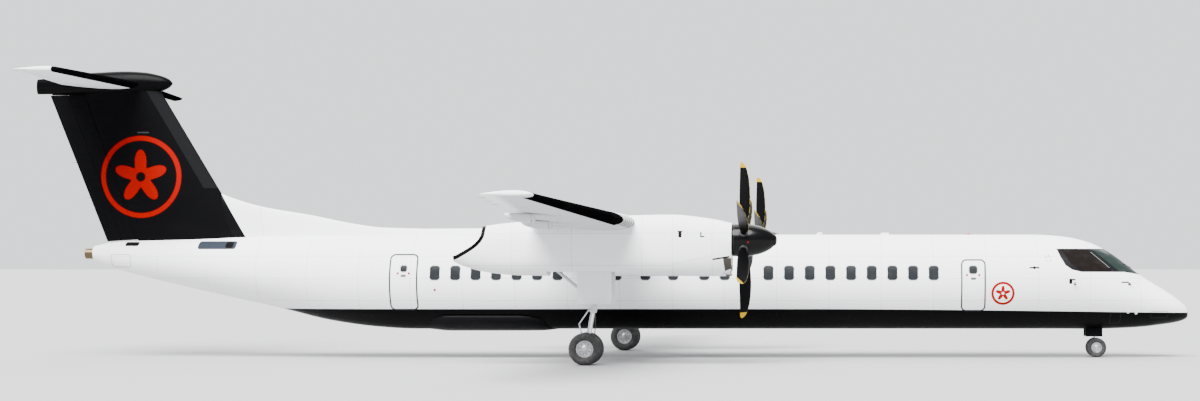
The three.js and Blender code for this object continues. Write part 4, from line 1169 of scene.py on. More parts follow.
ROOT_FAIRING = Hull([
    (2.9, 1.352, 1.18, 0.12, 1.25), (2.3, 1.5, 1.000, 0.64, 1.18),
    (1.5, 1.7, 0.9, 0.9, 1.18), (0.4, 1.74, 0.9, 0.98, 1.18),
    (-1.000, 1.69, 0.9, 0.96, 1.18), (-2.2, 1.59, 0.98, 0.76, 1.2),
    (-3.4, 1.525, 1.08, 0.42, 1.25), (-5.5, 1.51, 1.15, 0.19, 1.29),
])
BELLY_FAIRING = Hull([
    (-1.56, -1.08, -1.352, 0.3, -1.2), (-2.000, -0.82, -1.395, 0.9, -1.05),
    (-2.6, -0.76, -1.4, 1.000, -1.000), (-4.6, -0.76, -1.4, 1.000, -1.000),
    (-5.15, -0.9, -1.352, 0.7, -1.1),
])
DORSAL_FIN = Hull([
    (-5.5, 1.512, 1.15, 0.17, 1.29), (-6.596, 1.545, 1.15, 0.13, 1.28),
    (-7.396, 1.653, 1.15, 0.13, 1.26), (-8.595, 1.893, 1.1, 0.14, 1.23),
    (-10.023, 2.142, 1.05, 0.165, 1.2), (-10.937, 2.416, 1.000, 0.185, 1.18),
    (-11.35, 2.6, 1.000, 0.195, 1.18),
])
BULLET = Hull([
    (-12.57, 5.675, 5.645, 0.015, 5.66), (-12.66, 5.775, 5.54, 0.11, 5.65),
    (-12.95, 5.895, 5.42, 0.205, 5.64), (-13.4, 5.98, 5.375, 0.27, 5.64),
    (-13.9, 6.005, 5.355, 0.3, 5.64), (-14.7, 5.972, 5.345, 0.29, 5.63),
    (-15.6, 5.87, 5.345, 0.21, 5.6), (-NOSE_X, 5.771, 5.345, 0.09, 5.56),
])


class AIRLINER_OT_fairings(bpy.types.Operator):
    """Build the wing-root, belly and dorsal fairings"""
    bl_idname = "airliner.fairings"
    bl_label = "Fairings"

    def execute(self, context):
        for name, hull, count, finish_name, slot, node in (
            ("root_fairing_skin", ROOT_FAIRING, 40, "hull_white", "white_paint", "wing_root_fairing"),
            ("belly_fairing_skin", BELLY_FAIRING, 30, "belly_paint", "black_paint", "belly_fairing"),
            ("dorsal_fin_skin", DORSAL_FIN, 36, "dorsal_paint", "white_paint", "dorsal_fin"),
        ):
            body = hull.body(spread(hull.rear, hull.front, count), 48)
            dress(painted(body, finish_name), name, "airframe", slot, node)
        return {"FINISHED"}


# Tail

FIN_LEAD = ((-10.451, 1.311), (-12.887, 5.408))
FIN_TRAIL = ((-14.403, 1.094), (-16.048, 5.291))
RUDDER_LINE = ((-13.575, 1.274), (-15.066, 5.36))
TRAILING_LINE = ((-14.03, 1.274), (-15.515, 5.243))
FIN_RATIO = 0.125
RUDDER_FOOT = 1.235
RUDDER_TOP = 5.3
TAILPLANE_TIP = 4.635
TAIL_LEAD = (-13.42, -13.88)
TAIL_CHORD = (2.25, 1.27)
TAIL_RATIO = 0.12
ELEVATOR_X = -14.93
ELEVATOR_Y = (0.345, 4.5)


def slanted(line, z):
    """Where a slanting line stands at a height."""
    (x0, z0), (x1, z1) = line
    return mix(x0, x1, (z - z0) / (z1 - z0))


def fin_ring(z):
    lead, trail = slanted(FIN_LEAD, z), slanted(FIN_TRAIL, z)
    return wing_ring(spot(lead, 0, z), lead - trail, FIN_RATIO, 0, SIDE)


def fin_body():
    return loft([fin_ring(z) for z in (1.05, 2.5, 4.0, 5.45)])


def fin_half(x, z):
    lead, trail = slanted(FIN_LEAD, z), slanted(FIN_TRAIL, z)
    return half_depth((lead - x) / (lead - trail), FIN_RATIO) * (lead - trail)


def fin_slice(front, back, grow=0.0):
    """The part of the fin between two slanting lines; no back line means to the end."""
    low, high = RUDDER_FOOT - 0.4, RUDDER_TOP + 0.6
    rear = [(slanted(back, high), high), (slanted(back, low), low)] if back else [(-17, high), (-17, low)]
    outline = [(slanted(front, low) + grow, low), (slanted(front, high) + grow, high), *rear]
    return side_prism(outline, -0.5, 0.5)


def fin_cone(line, grow=0.0, more=0.0, share=1.0):
    start, end = (spot(slanted(line, z), 0, z) for z in (RUDDER_FOOT, RUDDER_TOP))
    halves = [fin_half(start.x, RUDDER_FOOT) * share, fin_half(end.x, RUDDER_TOP) * share]
    return hinge_cone(start, end, *halves, grow, more)


def tail_lead(y):
    return mix(*TAIL_LEAD, abs(y) / TAILPLANE_TIP)


def tail_chord(y):
    return mix(*TAIL_CHORD, abs(y) / TAILPLANE_TIP)


def tail_section(y, shrink=0.0, thin=1.0):
    lead = Vector((tail_lead(y) - shrink * 0.11, y, TAILPLANE_Z))
    return wing_ring(lead, tail_chord(y) - shrink * 0.15, TAIL_RATIO * thin, 0, UP)


def tailplane_body():
    half = tip_rows(TAILPLANE_TIP - 0.08, TAILPLANE_TIP, 0.25)[::-1]
    half += [(y, 0.0, 1.0) for y in (TAILPLANE_TIP - 0.08, 3.0, 1.5)]
    rows = [(-y, drop, thin) for y, drop, thin in half] + [(0.0, 0.0, 1.0)] + half[::-1]
    return loft([tail_section(*row) for row in rows])


class AIRLINER_OT_tail(bpy.types.Operator):
    """Build the fin, its two rudders, the tailplane with its elevators, the bullet and tail pipe"""
    bl_idname = "airliner.tail"
    bl_label = "Tail"

    def execute(self, context):
        ends = side_prism([(-13.3, 1.218), (-13.3, 5.31), (-17.0, 5.31), (-17.0, 0.985)], -0.5, 0.5)
        body = clip(fin_body(), ends)
        fore = clip(twin(body), fin_slice(RUDDER_LINE, TRAILING_LINE))
        unite(fore, clip(fin_cone(RUDDER_LINE, share=0.94), body, keep=True))
        cut(fore, fin_slice(TRAILING_LINE, None, ROOM), fin_cone(TRAILING_LINE, CLEARANCE, 0.094))
        aft = clip(twin(body), fin_slice(TRAILING_LINE, None))
        unite(aft, clip(fin_cone(TRAILING_LINE, share=0.94), body, keep=True))
        discard(body)
        fin = cut(fin_body(), fin_slice(RUDDER_LINE, None, ROOM), fin_cone(RUDDER_LINE, CLEARANCE, 0.094))
        for piece, name, body, node in (
            (fore, "fore_rudder_skin", "fore_rudder", "rudder_fore"),
            (aft, "trailing_rudder_skin", "trailing_rudder", "rudder_trailing"),
            (fin, "fin_skin", "airframe", "fin"),
        ):
            dress(painted(piece, "fin_paint"), name, body, "charcoal_paint", node)

        whole = tailplane_body()
        ends = [Vector((ELEVATOR_X, y, TAILPLANE_Z)) for y in ELEVATOR_Y]
        halves = []
        for y in ELEVATOR_Y:
            share = (tail_lead(y) - ELEVATOR_X) / tail_chord(y)
            halves.append(half_depth(share, TAIL_RATIO) * tail_chord(y))
        deep = (TAILPLANE_Z - 0.4, TAILPLANE_Z + 0.4)
        elevator = clip(twin(whole), block((-17, ELEVATOR_X), ELEVATOR_Y, deep))
        unite(elevator, clip(hinge_cone(*ends, *[half * 0.94 for half in halves]), whole, keep=True))
        painted(elevator, "tailplane_paint")
        both(elevator, "elevator_skin", "{}_elevator", "white_paint", "elevator_{}")
        hollow = block((-17, ELEVATOR_X + ROOM), widened(ELEVATOR_Y, ROOM), deep)
        cone = hinge_cone(*ends, *halves, CLEARANCE, ROOM)
        cut(whole, twin(hollow, MIRROR), twin(cone, MIRROR), hollow, cone)
        dress(painted(whole, "tailplane_paint"), "tailplane_skin", "airframe", "grey_paint", "tailplane")
        stations = [BULLET.front - 0.35 * (i / 10) ** 2 for i in range(11)] + spread(-13.1, -NOSE_X, 30)
        bullet = BULLET.body(stations, 48)
        unite(bullet, rounded(raised((-16.0, -15.02), (-0.03, 0.03), (5.318, 5.5)), 0.006))
        dress(painted(bullet, "bullet_paint"), "bullet_skin", "airframe", "charcoal_paint", "tail_bullet")
        pipe = hoop(spot(-14.7, 0, TAIL_PIPE_Z), -AHEAD, [
            (0.02, 0.06), (0.03, 0.136), (0.325, 0.138), (0.33, 0.143), (0.325, 0.149), (0.3, 0.15),
            (0.0, 0.15), (0.0, 0.06),
        ], 64)
        back = turned(spot(-14.73, 0, TAIL_PIPE_Z), -AHEAD, [
            (0, 0), (0, 0.13), (0.03, 0.13), (0.06, 0.05), (0.08, 0),
        ], 32)
        whole = gather(painted(pipe, "bronze"), painted(back, "soot_and_painted_shade"))
        dress(whole, "tail_pipe_skin", "airframe", "bronze_pipe", "tail_pipe")
        return {"FINISHED"}


# Nacelles

NACELLE = Hull([
    (3.68, 1.577, 0.19, 0.455, 0.95, 2.2), (3.15, 1.69, 0.18, 0.545, 0.95, 2.5),
    (2.095, 1.8, 0.188, 0.578, 0.95, 2.7), (-0.566, 1.7, 0.19, 0.58, 0.93, 2.8),
    (-1.264, 1.625, 0.193, 0.57, 0.9, 2.7), (-1.95, 1.6, 0.206, 0.53, 0.9, 2.6),
    (-2.69, 1.52, 0.275, 0.44, 0.88, 2.4), (-3.37, 1.4, 0.444, 0.31, 0.88, 2.2),
    (-3.62, 1.35, 0.56, 0.225, 0.88, 2.0),
], NACELLE_Y)
EXHAUST_LIP = [
    (-2.845, 1.47), (-2.845, 1.38), (-2.86, 1.25), (-2.92, 1.14), (-3.01, 1.045), (-3.13, 0.955),
    (-3.275, 0.868), (-3.41, 0.795), (-3.53, 0.735), (-3.64, 0.7),
]
EXHAUST_CUT = [(-2.845, 1.7), *EXHAUST_LIP, (-4.0, 0.6), (-4.0, 1.7)]
SHELL = 0.03


def nacelle_row(x0, x1, z, count):
    """Points along panel edges on both flanks of the nacelle, with the outward normals."""
    return [NACELLE.skin(x, z, side) for word, side in SIDES for x in spread(x0, x1, count)]


def mouth_outline(x, grow=0.0):
    """The round-cornered outline of the chin intake."""
    outline = round_outline(
        NACELLE_Y - 0.3 - grow, NACELLE_Y + 0.3 + grow, 0.245 - grow, 0.59 + grow, 0.11 + grow, 8,
    )
    return [spot(x, y, z) for y, z in outline]


def fasteners(places, radius=0.009):
    """Flat round screw heads on a skin."""
    profile = [(0, radius), (0.0028, radius), (0.0034, radius * 0.7), (0.0034, 0)]
    return painted(gather(*[
        turned(point - 0.002 * normal, normal, profile, 8) for point, normal in places
    ]), "fastener")


class AIRLINER_OT_nacelles(bpy.types.Operator):
    """Build the nacelles with chin intakes, exhausts, vents, fasteners and the jet pipes inside"""
    bl_idname = "airliner.nacelles"
    bl_label = "Nacelles and engines"

    def execute(self, context):
        stations = sorted({*spread(-3.62, 3.68, 45), 3.6, 3.64, 3.665}, reverse=True)
        middle = (NACELLE_Y - 0.7, NACELLE_Y + 0.7)
        skin = NACELLE.body(stations, 64)
        cut(
            skin, clip(NACELLE.body(stations, 48, -SHELL), raised((-3.7, -1.8), middle, (0, 2))),
            side_prism(EXHAUST_CUT, *middle),
            loft([mouth_outline(x) for x in (3.12, 3.82)]),
            rod(Vector((3.6, NACELLE_Y, HUB.z)), Vector((3.8, NACELLE_Y, HUB.z)), 0.14),
            raised((-1.6, 0.85), (3.97, 4.83), (0.39, 1.24)),
            raised((-1.13, 0.64), (4.0, 4.8), (0.1, 0.5)),
        )
        lip = loops_solid([mouth_outline(x, grow) for x, grow in (
            (3.45, -0.004), (3.5, -0.018), (3.62, -0.02), (3.675, -0.008), (3.679, 0.012), (3.655, 0.022),
            (3.45, 0.01),
        )])
        lip = clip(lip, NACELLE.body(stations, 64, 0.004))
        parts = [painted(skin, "nacelle_paint"), painted(lip, "polished_lip")]
        for y in spread(NACELLE_Y - 0.2, NACELLE_Y + 0.2, 5):
            vane = raised((3.14, 3.4), (y - 0.006, y + 0.006), (0.25, 0.585))
            parts.append(painted(rounded(vane, 0.004), "bare_metal"))
        # A dark sheet at the back of the intake mouth: painted shade that stands for the deep duct behind it.
        parts.append(painted(raised((3.125, 3.14), (4.1, 4.7), (0.245, 0.59)), "soot_and_painted_shade"))
        parts.append(fasteners(nacelle_row(3.5, -1.9, 1.34, 46) + nacelle_row(3.0, -1.6, 0.5, 40)))
        for x in (-1.75, -2.05, -2.35, -2.65):
            loops = [NACELLE.ring(x + d, 48, grow - SHELL) for d, grow in (
                (-0.012, 0), (0.012, 0), (0.012, -0.03), (-0.012, -0.03))]
            parts.append(painted(loops_solid(loops), "soot_and_painted_shade"))
        both(gather(*parts), "nacelle_skin", "airframe", "white_paint", "nacelle_{}", sharp=38)

        for word, side in SIDES:
            start, end = spot(-1.8, side * NACELLE_Y, 1.1), spot(-2.79, side * NACELLE_Y, 1.03)
            length, direction = (end - start).length, (end - start).normalized()
            parts = [
                hoop(start, end - start, [
                    (0, 0.252), (0, 0.262), (length - 0.02, 0.262), (length - 0.006, 0.268),
                    (length, 0.262), (length, 0.252),
                ], 48),
                turned(start, direction, [(0, 0.12), (0.25, 0.12), (0.55, 0.06), (0.72, 0)], 32),
            ]
            for turn in range(4):
                out = Matrix.Rotation(turn * pi / 2 + 0.4, 3, direction) @ UP
                at = start + 0.3 * direction
                parts.append(rod(at + 0.1 * out, at + 0.256 * out, 0.012, sides=12))
            inside = painted(gather(*parts), "heat_metal")
            dress(inside, f"jet_pipe_skin_{word}", "airframe", "exhaust_metal", f"jet_pipe_{word}")
        return {"FINISHED"}


# Propellers

# Row: radius, leading edge and trailing edge from the pitch axis, depth, pitch
BLADE_ROWS = [
    (0.15, 0.085, 0.085, 0.15, 62), (0.43, 0.088, 0.088, 0.125, 60),
    (0.8, 0.195, 0.155, 0.066, 53), (1.25, 0.232, 0.176, 0.042, 46.5),
    (1.6, 0.205, 0.172, 0.03, 43), (1.88, 0.11, 0.168, 0.02, 41),
    (1.985, 0.035, 0.166, 0.014, 40.3), (2.047, -0.075, 0.125, 0.008, 40),
]
SPINNER = [
    (-0.31, 0.424), (-0.08, 0.43), (0.13, 0.42), (0.38, 0.372), (0.65, 0.262), (0.812, 0.13),
    (0.862, 0.0),
]
BLADE_SIDES = 24


def blade_rings():
    """Sections of one blade that points up, from its root to its tip."""
    radii, *columns = zip(*BLADE_ROWS)
    columns = [curve(radii, column) for column in columns]
    rings = []
    for r in [*spread(0.15, 1.6, 24), *spread(1.66, 1.95, 7), 1.99, 2.02, 2.038, 2.047]:
        lead, trail, depth, pitch = (column(r) for column in columns)
        turn = radians(pitch)
        chordwise, normal = Vector((sin(turn), -cos(turn), 0)), Vector((cos(turn), sin(turn), 0))
        bluff = max(0.0, min(1.0, (0.75 - r) / 0.35))
        ring = []
        for i in range(BLADE_SIDES):
            angle = i / BLADE_SIDES * 2 * pi
            along = (lead - trail) / 2 + (lead + trail) / 2 * cos(angle)
            keen = mix(0.8 + 0.2 * cos(angle), 1.0, bluff)
            ring.append(Vector((0, 0, r)) + along * chordwise + depth / 2 * sin(angle) * keen * normal)
        rings.append(ring)
    return rings


def spinner_profile():
    reach = curve(*zip(*SPINNER[:-1]))
    profile = [(-0.31, 0.0), (-0.31, 0.412), (-0.302, 0.42)]
    profile += [(x, reach(x)) for x in spread(-0.29, 0.79, 22)]
    for t in spread(0.12, 1.0, 12):
        profile.append((0.79 + 0.072 * sin(t * pi / 2), reach(0.79) * cos(t * pi / 2)))
    profile[-1] = (0.862, 0.0)
    return profile


class AIRLINER_OT_propellers(bpy.types.Operator):
    """Build both six-blade propellers with their spinners, cuffs and balance screws"""
    bl_idname = "airliner.propellers"
    bl_label = "Propellers"

    def execute(self, context):
        for word, side in SIDES:
            centre = Vector((HUB.x, side * NACELLE_Y, HUB.z))
            angles = turns(BLADES, 4, PROP_PHASE)
            place = Matrix.Translation(centre)
            shell = turned(centre, AHEAD, spinner_profile(), 96)
            holes = [turned(centre, turn.to_3x3() @ UP, [(0.16, 0.118), (0.5, 0.118)], 32) for turn in angles]
            cut(shell, rod(centre - 0.33 * AHEAD, centre + 0.22 * AHEAD, 0.2003), *holes)
            outs = [turn @ UP for turn in turns(24)]
            screws = fasteners([(centre - 0.27 * AHEAD + 0.4195 * out, out) for out in outs], 0.007)
            spinner = gather(painted(shell, "spinner_paint"), screws)
            dress(spinner, f"spinner_skin_{word}", f"propeller_{word}", "black_paint", f"spinner_{word}")

            blade = painted(loft(blade_rings()), "blade_paint")
            blade.data.materials.append(finish("blade_edge"))
            for face in blade.data.polygons:
                worn = 0.62 < face.center.z < 1.93 and len(face.vertices) == 4
                if worn and face.index % BLADE_SIDES in (0, BLADE_SIDES - 1):
                    face.material_index = 1
            cuff = painted(hoop(Vector((0, 0, 0.4)), UP, [
                (0, 0.07), (0, 0.112), (0.045, 0.114), (0.06, 0.104), (0.06, 0.07),
            ], 40), "dark_rubber")
            blades = [twin(piece, place @ turn) for turn in angles for piece in (blade, cuff)]
            discard(blade, cuff)
            hub = rod(centre - 0.31 * AHEAD, centre + 0.21 * AHEAD, 0.2, edge=0.01, sides=48)
            shaft = rod(centre - 0.73 * AHEAD, centre - 0.3 * AHEAD, 0.1, sides=40)
            parts = [painted(hub, "engine_metal"), painted(shaft, "bare_metal"), *blades]
            dress(gather(*parts), f"blades_skin_{word}", f"propeller_{word}",
                  "blade_composite", f"prop_blades_{word}", sharp=50)
        return {"FINISHED"}


# Landing gear

MAIN_AXLE = Vector((-0.15, NACELLE_Y, 0.428304))
NOSE_AXLE = Vector((13.79, 0.0, 0.276059))
MAIN_TOP = Vector((0.3, NACELLE_Y, CENTRE_Z + 0.76))
MAIN_BRACE = Vector((-1.3, NACELLE_Y, CENTRE_Z + 0.64))
NOSE_BRACE = Vector((13.49, 0, 1.25))
# Radius, bore, half width, half the distance between the two tyres, radius of the axle
MAIN_WHEEL = (0.4283, 0.225, 0.136, 0.235, 0.048)
NOSE_WHEEL = (0.27605, 0.15, 0.0825, 0.16, 0.028)


def tyre(centre, radius, bore, half):
    """A round-shouldered tyre with four grooves in its tread."""
    shoulders = []
    for turn in spread(-pi / 2, pi / 2, 17):
        width = half * abs(sin(turn)) ** 0.72 * (1 if turn > 0 else -1)
        shoulders.append((width, mix(bore + 0.3 * (radius - bore), radius, abs(cos(turn)) ** 0.55)))
    tread = []
    for place in (-0.45, -0.15, 0.15, 0.45):
        tread += [(place * half + w, radius - deep) for w, deep in (
            (-0.006, 0.0005), (-0.004, 0.008), (0.004, 0.008), (0.006, 0.0005))]
    low = [row for row in shoulders if row[0] < -0.5 * half]
    high = [row for row in shoulders if row[0] > 0.5 * half]
    bead = [(half * share, bore + up) for share, up in ((0.76, 0.006), (0.7, 0), (-0.7, 0), (-0.76, 0.006))]
    return painted(hoop(centre, SIDE, [*low, *tread, *high, *bead], 96), "tyre")


def wheel(centre, bore, half, face, bolts):
    """A dished alloy wheel; face is +1 or -1, the side its hub cap is on."""
    out = face * SIDE
    deep = half * 0.62
    profile = [
        (-half * 0.7, 0.0), (-half * 0.7, bore - 0.012), (-half * 0.62, bore - 0.001),
        (half * 0.6, bore - 0.001), (half * 0.7, bore - 0.004), (half * 0.705, bore - 0.018),
        (half * 0.55, bore - 0.03), (deep * 0.45, bore * 0.74), (deep * 0.38, bore * 0.5),
        (deep * 0.75, bore * 0.36), (deep * 0.8, bore * 0.28), (deep * 1.1, bore * 0.24),
        (deep * 1.14, bore * 0.12), (deep * 1.14, 0.0),
    ]
    rim = painted(turned(centre, out, profile, 72), "rim")
    holes = [
        rod(centre + out * -half + at, centre + out * half + at, bore * 0.085, sides=16)
        for at in (Matrix.Rotation(i / 9 * 2 * pi, 3, SIDE) @ UP * (bore * 0.615) for i in range(9))
    ]
    cut(rim, *holes)
    nut = turned(UP * bore * 0.42 + out * deep * 0.5, out,
                 [(-0.01, 0.009), (0.008, 0.009), (0.01, 0.007), (0.016, 0.005), (0.016, 0)], 6)
    nuts = repeat(nut, "bare_metal", Count=bolts, Start=tuple(centre), Axis=tuple(SIDE))
    return [rim, nuts]


def wheel_pair(name, body, axle, radius, bore, half, apart, shaft):
    parts = []
    for word, side in SIDES:
        centre = axle + side * apart * SIDE
        parts += wheel(centre, bore, half, side, 12 if bore > 0.2 else 8)
        rubber = tyre(centre, radius, bore, half)
        dress(rubber, f"tyre_skin_{name}_{word}", body, "tyre_rubber", f"tyre_{name}_{word}", sharp=40)
        if bore > 0.2:
            parts.append(painted(ring_solid(
                centre - side * 0.055 * SIDE, -side * SIDE, bore * 0.72, shaft + 0.002, 0.055, 48,
            ), "brake"))
    parts.append(painted(crossbar(axle, apart, shaft, 0.003, 40), "chrome"))
    dress(gather(*parts), f"rims_skin_{name}", body, "rim_alloy", f"rims_{name}", sharp=40)


def torque_link(start, end, knee, width, thick):
    """Two flat arms that meet at a knee, as a scissors link."""
    def ring(at, half, lift):
        return [at + y * half * SIDE + z * lift for y, z in ((-1, -1), (1, -1), (1, 1), (-1, 1))]

    def pin(at, half):
        return painted(crossbar(at, half, thick * 1.5, 0.003), "bare_metal")

    arms = []
    for a, b in ((start, knee), (end, knee)):
        lift = (b - a).normalized().cross(SIDE).normalized() * thick
        arm = loft([ring(a, width, lift), ring(b, width * 0.55, lift)])
        arms += [painted(rounded(arm, 0.004), "gear_paint"), pin(a, 1.15 * width)]
    return [*arms, pin(knee, 0.8 * width)]


class AIRLINER_OT_gear(bpy.types.Operator):
    """Build the wheels, tyres, legs, braces, links, hoses and the open gear doors"""
    bl_idname = "airliner.gear"
    bl_label = "Landing gear"

    def execute(self, context):
        for name, axle, sizes_of_wheel in (
            ("main_left", MAIN_AXLE, MAIN_WHEEL), ("main_right", MIRROR @ MAIN_AXLE, MAIN_WHEEL),
            ("nose", NOSE_AXLE, NOSE_WHEEL),
        ):
            kind, *end = name.split("_")
            wheel_pair(name, "_".join([kind, "wheels", *end]), axle, *sizes_of_wheel)

        def on_leg(t):
            return MAIN_TOP.lerp(MAIN_AXLE, t)

        down = (MAIN_AXLE - MAIN_TOP).normalized()
        ahead = down.cross(SIDE).normalized()
        length = (MAIN_AXLE - MAIN_TOP).length
        strut = turned(MAIN_TOP, down, [(0, 0.07), (0.02, 0.088), *(
            (length * share, radius) for share, radius in (
                (0.3, 0.088), (0.31, 0.096), (0.34, 0.096), (0.35, 0.088), (0.56, 0.088),
                (0.565, 0.1), (0.61, 0.1), (0.62, 0.07),
            )
        )], 40)
        parts = [
            painted(unite(strut, crossbar(MAIN_TOP, 0.43, 0.075, 0.01, 32)), "gear_paint"),
            painted(crossbar(MAIN_BRACE, 0.43, 0.045, 0.01, 32), "gear_paint"),
            painted(rod(on_leg(0.6), on_leg(0.955), 0.06, sides=40), "chrome"),
            painted(rod(on_leg(0.5), MAIN_BRACE, 0.042, edge=0.006), "gear_paint"),
            painted(crossbar(MAIN_AXLE, 0.072, 0.072, 0.006, 40), "gear_paint"),
            *torque_link(on_leg(0.585) - 0.1 * ahead, on_leg(0.95) - 0.085 * ahead,
                         on_leg(0.76) - 0.3 * ahead, 0.06, 0.012),
        ]
        for offset in (-0.03, 0.035):
            hose = [
                on_leg(t) + (0.102 + 0.05 * sin(t * 9)) * ahead + offset * SIDE for t in spread(0.15, 0.9, 20)
            ]
            parts.append(painted(along_path(hose, 0.009), "dark_rubber"))
        for t in (0.2, 0.4, 0.58):
            clamp = hoop(on_leg(t), down, [(0, 0.087), (0, 0.101), (0.022, 0.101), (0.022, 0.087)], 32)
            parts.append(painted(clamp, "bare_metal"))
        jack = rod(on_leg(0.3) + 0.06 * ahead, MAIN_TOP + Vector((-0.55, 0, -0.05)), 0.03, sides=20)
        parts.append(painted(jack, "bare_metal"))
        both(gather(*parts), "main_leg_skin", "airframe", "gear_steel", "main_leg_{}", sharp=40)

        doors = []
        skin = NACELLE.body(spread(-0.8, 0.9, 20), 64, 0.001)
        for side in (1, -1):
            near = NACELLE_Y + side * 0.405
            leaf = block((-0.33, 0.56), sorted((near, near + side * 0.024)), (1.61, CENTRE_Z + 0.4))
            doors.append(rounded(cut(leaf, skin, keep=True), 0.005))
            for x in (-0.15, 0.12, 0.39):
                ends = sorted((near - side * 0.01, near + side * 0.002))
                doors.append(rounded(block((x - 0.012, x + 0.012), ends, (1.66, 2.3)), 0.003))
        discard(skin)
        doors = [painted(door, "gear_door_paint") for door in doors]
        doors.append(painted(crossbar(Vector((0.46, NACELLE_Y, 2.15)), 0.415, 0.018, 0.003), "chrome"))
        both(gather(*doors), "main_doors_skin", "airframe", "white_paint", "main_doors_{}", 40)

        def at(z, x=0.0, y=0.0):
            return Vector((NOSE_AXLE.x + x, y, z))

        steel = [
            turned(at(0.62), UP, [
                (0, 0.05), (0.006, 0.072), (0.05, 0.076), (0.056, 0.072), (0.2, 0.072), (0.205, 0.08),
                (0.24, 0.08), (0.245, 0.072), (0.7297, 0.072),
            ], 40),
            crossbar(at(1.24), 0.2197, 0.05, 0.006), crossbar(NOSE_BRACE, 0.2197, 0.032, 0.006),
            rod(at(0.8), NOSE_BRACE, 0.028, edge=0.005),
            rod(at(0.93), Vector((13.84, 0, 0.93)), 0.012),
        ]
        lamp = turned(Vector((13.86, 0, 0.93)), AHEAD, [
            (-0.03, 0.0), (-0.03, 0.03), (0.0, 0.052), (0.012, 0.054), (0.012, 0.048), (0.006, 0.0),
        ], 32)
        hose = along_path([at(z, -0.082, 0.02 * sin(z * 12)) for z in spread(0.66, 1.3, 16)], 0.007)
        leg = gather(
            *[painted(piece, "gear_paint") for piece in steel], painted(lamp, "lamp_glass"),
            painted(hose, "dark_rubber"),
        )
        dress(leg, "nose_leg_skin", "airframe", "gear_steel", "nose_leg", sharp=40)
        lug = rounded(block((13.81, 13.91), (-0.032, 0.032), (0.244, 0.308)), 0.006)
        eye = hoop(Vector((13.885, -0.036, NOSE_AXLE.z)), SIDE, [
            (0, 0.01), (0, 0.02), (0.072, 0.02), (0.072, 0.01),
        ], 24)
        fork = [
            painted(rod(at(NOSE_AXLE.z + 0.02), at(0.6197), 0.05, sides=40), "chrome"),
            painted(crossbar(NOSE_AXLE, 0.06, 0.046, 0.005, 40), "gear_paint"),
            painted(lug, "gear_paint"), painted(eye, "bare_metal"),
            *torque_link(at(0.565, -0.052), at(0.33, -0.05), at(0.45, -0.16), 0.036, 0.008),
        ]
        dress(gather(*fork), "nose_fork_skin", "nose_steering_leg", "gear_steel", "nose_fork", sharp=40)

        doors = []
        skin = hull_body()
        for side in (1, -1):
            leaf = block((13.47, 13.95), sorted((side * 0.226, side * 0.246)), (0.59, CENTRE_Z - 1.2))
            doors.append(painted(rounded(cut(leaf, skin, keep=True), 0.005), "belly_paint"))
        discard(skin)
        doors.append(painted(crossbar(Vector((13.915, 0, 0.72)), 0.231, 0.012), "chrome"))
        dress(gather(*doors), "nose_doors_skin", "airframe", "black_paint", "nose_doors", sharp=40)
        return {"FINISHED"}


# Flight deck

def cushion(x, y, z):
    """A soft pad with rolled edges."""
    body = raised(x, y, z)
    edges = body.modifiers.new("edges", "BEVEL")
    edges.width = min(high - low for low, high in (x, y, z)) * 0.38
    edges.segments = 5
    return painted(settle(body), "seat_cloth")


def slab(x, y, z):
    return painted(rounded(raised(x, y, z), 0.012), "deck_plastic")


class AIRLINER_OT_flight_deck(bpy.types.Operator):
    """Build the flight deck: floor, instrument panel with screens, pedestal, yokes and seats"""
    bl_idname = "airliner.flight_deck"
    bl_label = "Flight deck"

    def execute(self, context):
        floor = -0.43
        room = HULL.body(COCKPIT_STATIONS, 48, -0.095)
        solid = [
            clip(slab((12.35, 14.6), (-0.62, 0.62), (floor + 0.001, floor + 0.03)), room, keep=True),
            clip(slab((14.05, 14.18), (-0.8, 0.8), (floor + 0.02, 0.19)), room, keep=True),
            clip(slab((13.98, 14.42), (-0.76, 0.76), (0.19, 0.225)), room),
            slab((13.15, 14.06), (-0.13, 0.13), (floor + 0.02, -0.09)),
        ]
        for y in (-0.56, -0.33, 0.0, 0.33, 0.56):
            screen = raised((14.038, 14.052), (y - 0.09, y + 0.09), (-0.06, 0.13))
            solid.append(painted(rounded(screen, 0.004), "screen"))
        for x in spread(13.55, 13.85, 4):
            for y in (-0.05, 0.05):
                lever = rod(spot(x, y, -0.1), spot(x + 0.02, y, 0), 0.008)
                knob = crossbar(spot(x + 0.02, y, 0), 0.02, 0.013, 0.003)
                solid += [painted(lever, "bare_metal"), painted(knob, "dark_rubber")]
        for y in (0.43, -0.43):
            column = rod(spot(13.72, y, floor + 0.03), spot(13.66, y, -0.02), 0.022, edge=0.004)
            yoke = along_path([
                spot(13.66 - 0.04 * cos(a), y + 0.15 * sin(a), 0.1 * (1 - cos(a)) - 0.02)
                for a in spread(-1.9, 1.9, 15)
            ], 0.014, 12)
            solid += [
                slab((12.83, 13.2), (y - 0.14, y + 0.14), (floor + 0.02, -0.12)),
                cushion((12.76, 13.3), (y - 0.22, y + 0.22), (-0.13, -0.02)),
                cushion((12.65, 12.79), (y - 0.22, y + 0.22), (-0.12, 0.36)),
                cushion((12.66, 12.77), (y - 0.13, y + 0.13), (0.34, 0.48)),
                painted(column, "dark_rubber"), painted(yoke, "dark_rubber"),
            ]
        dress(gather(*solid), "flight_deck_skin", "airframe", "interior_plastic", "flight_deck", sharp=40)
        return {"FINISHED"}


# Fittings

def blade_antenna(x, z, chord, height):
    """A swept fin-shaped antenna."""
    return loft([
        wing_ring(Vector((x, 0, z - 0.03)), chord, 0.12, 0, SIDE),
        wing_ring(Vector((x - height * 0.45, 0, z + height)), chord * 0.55, 0.1, 0, SIDE),
    ])


def dome(centre, direction, radius, height):
    profile = [(-0.01, radius)]
    profile += [(height * sin(t), radius * cos(t)) for t in spread(0.0, pi / 2 * 0.97, 8)] + [(height, 0.0)]
    return turned(centre, direction, profile, 24)


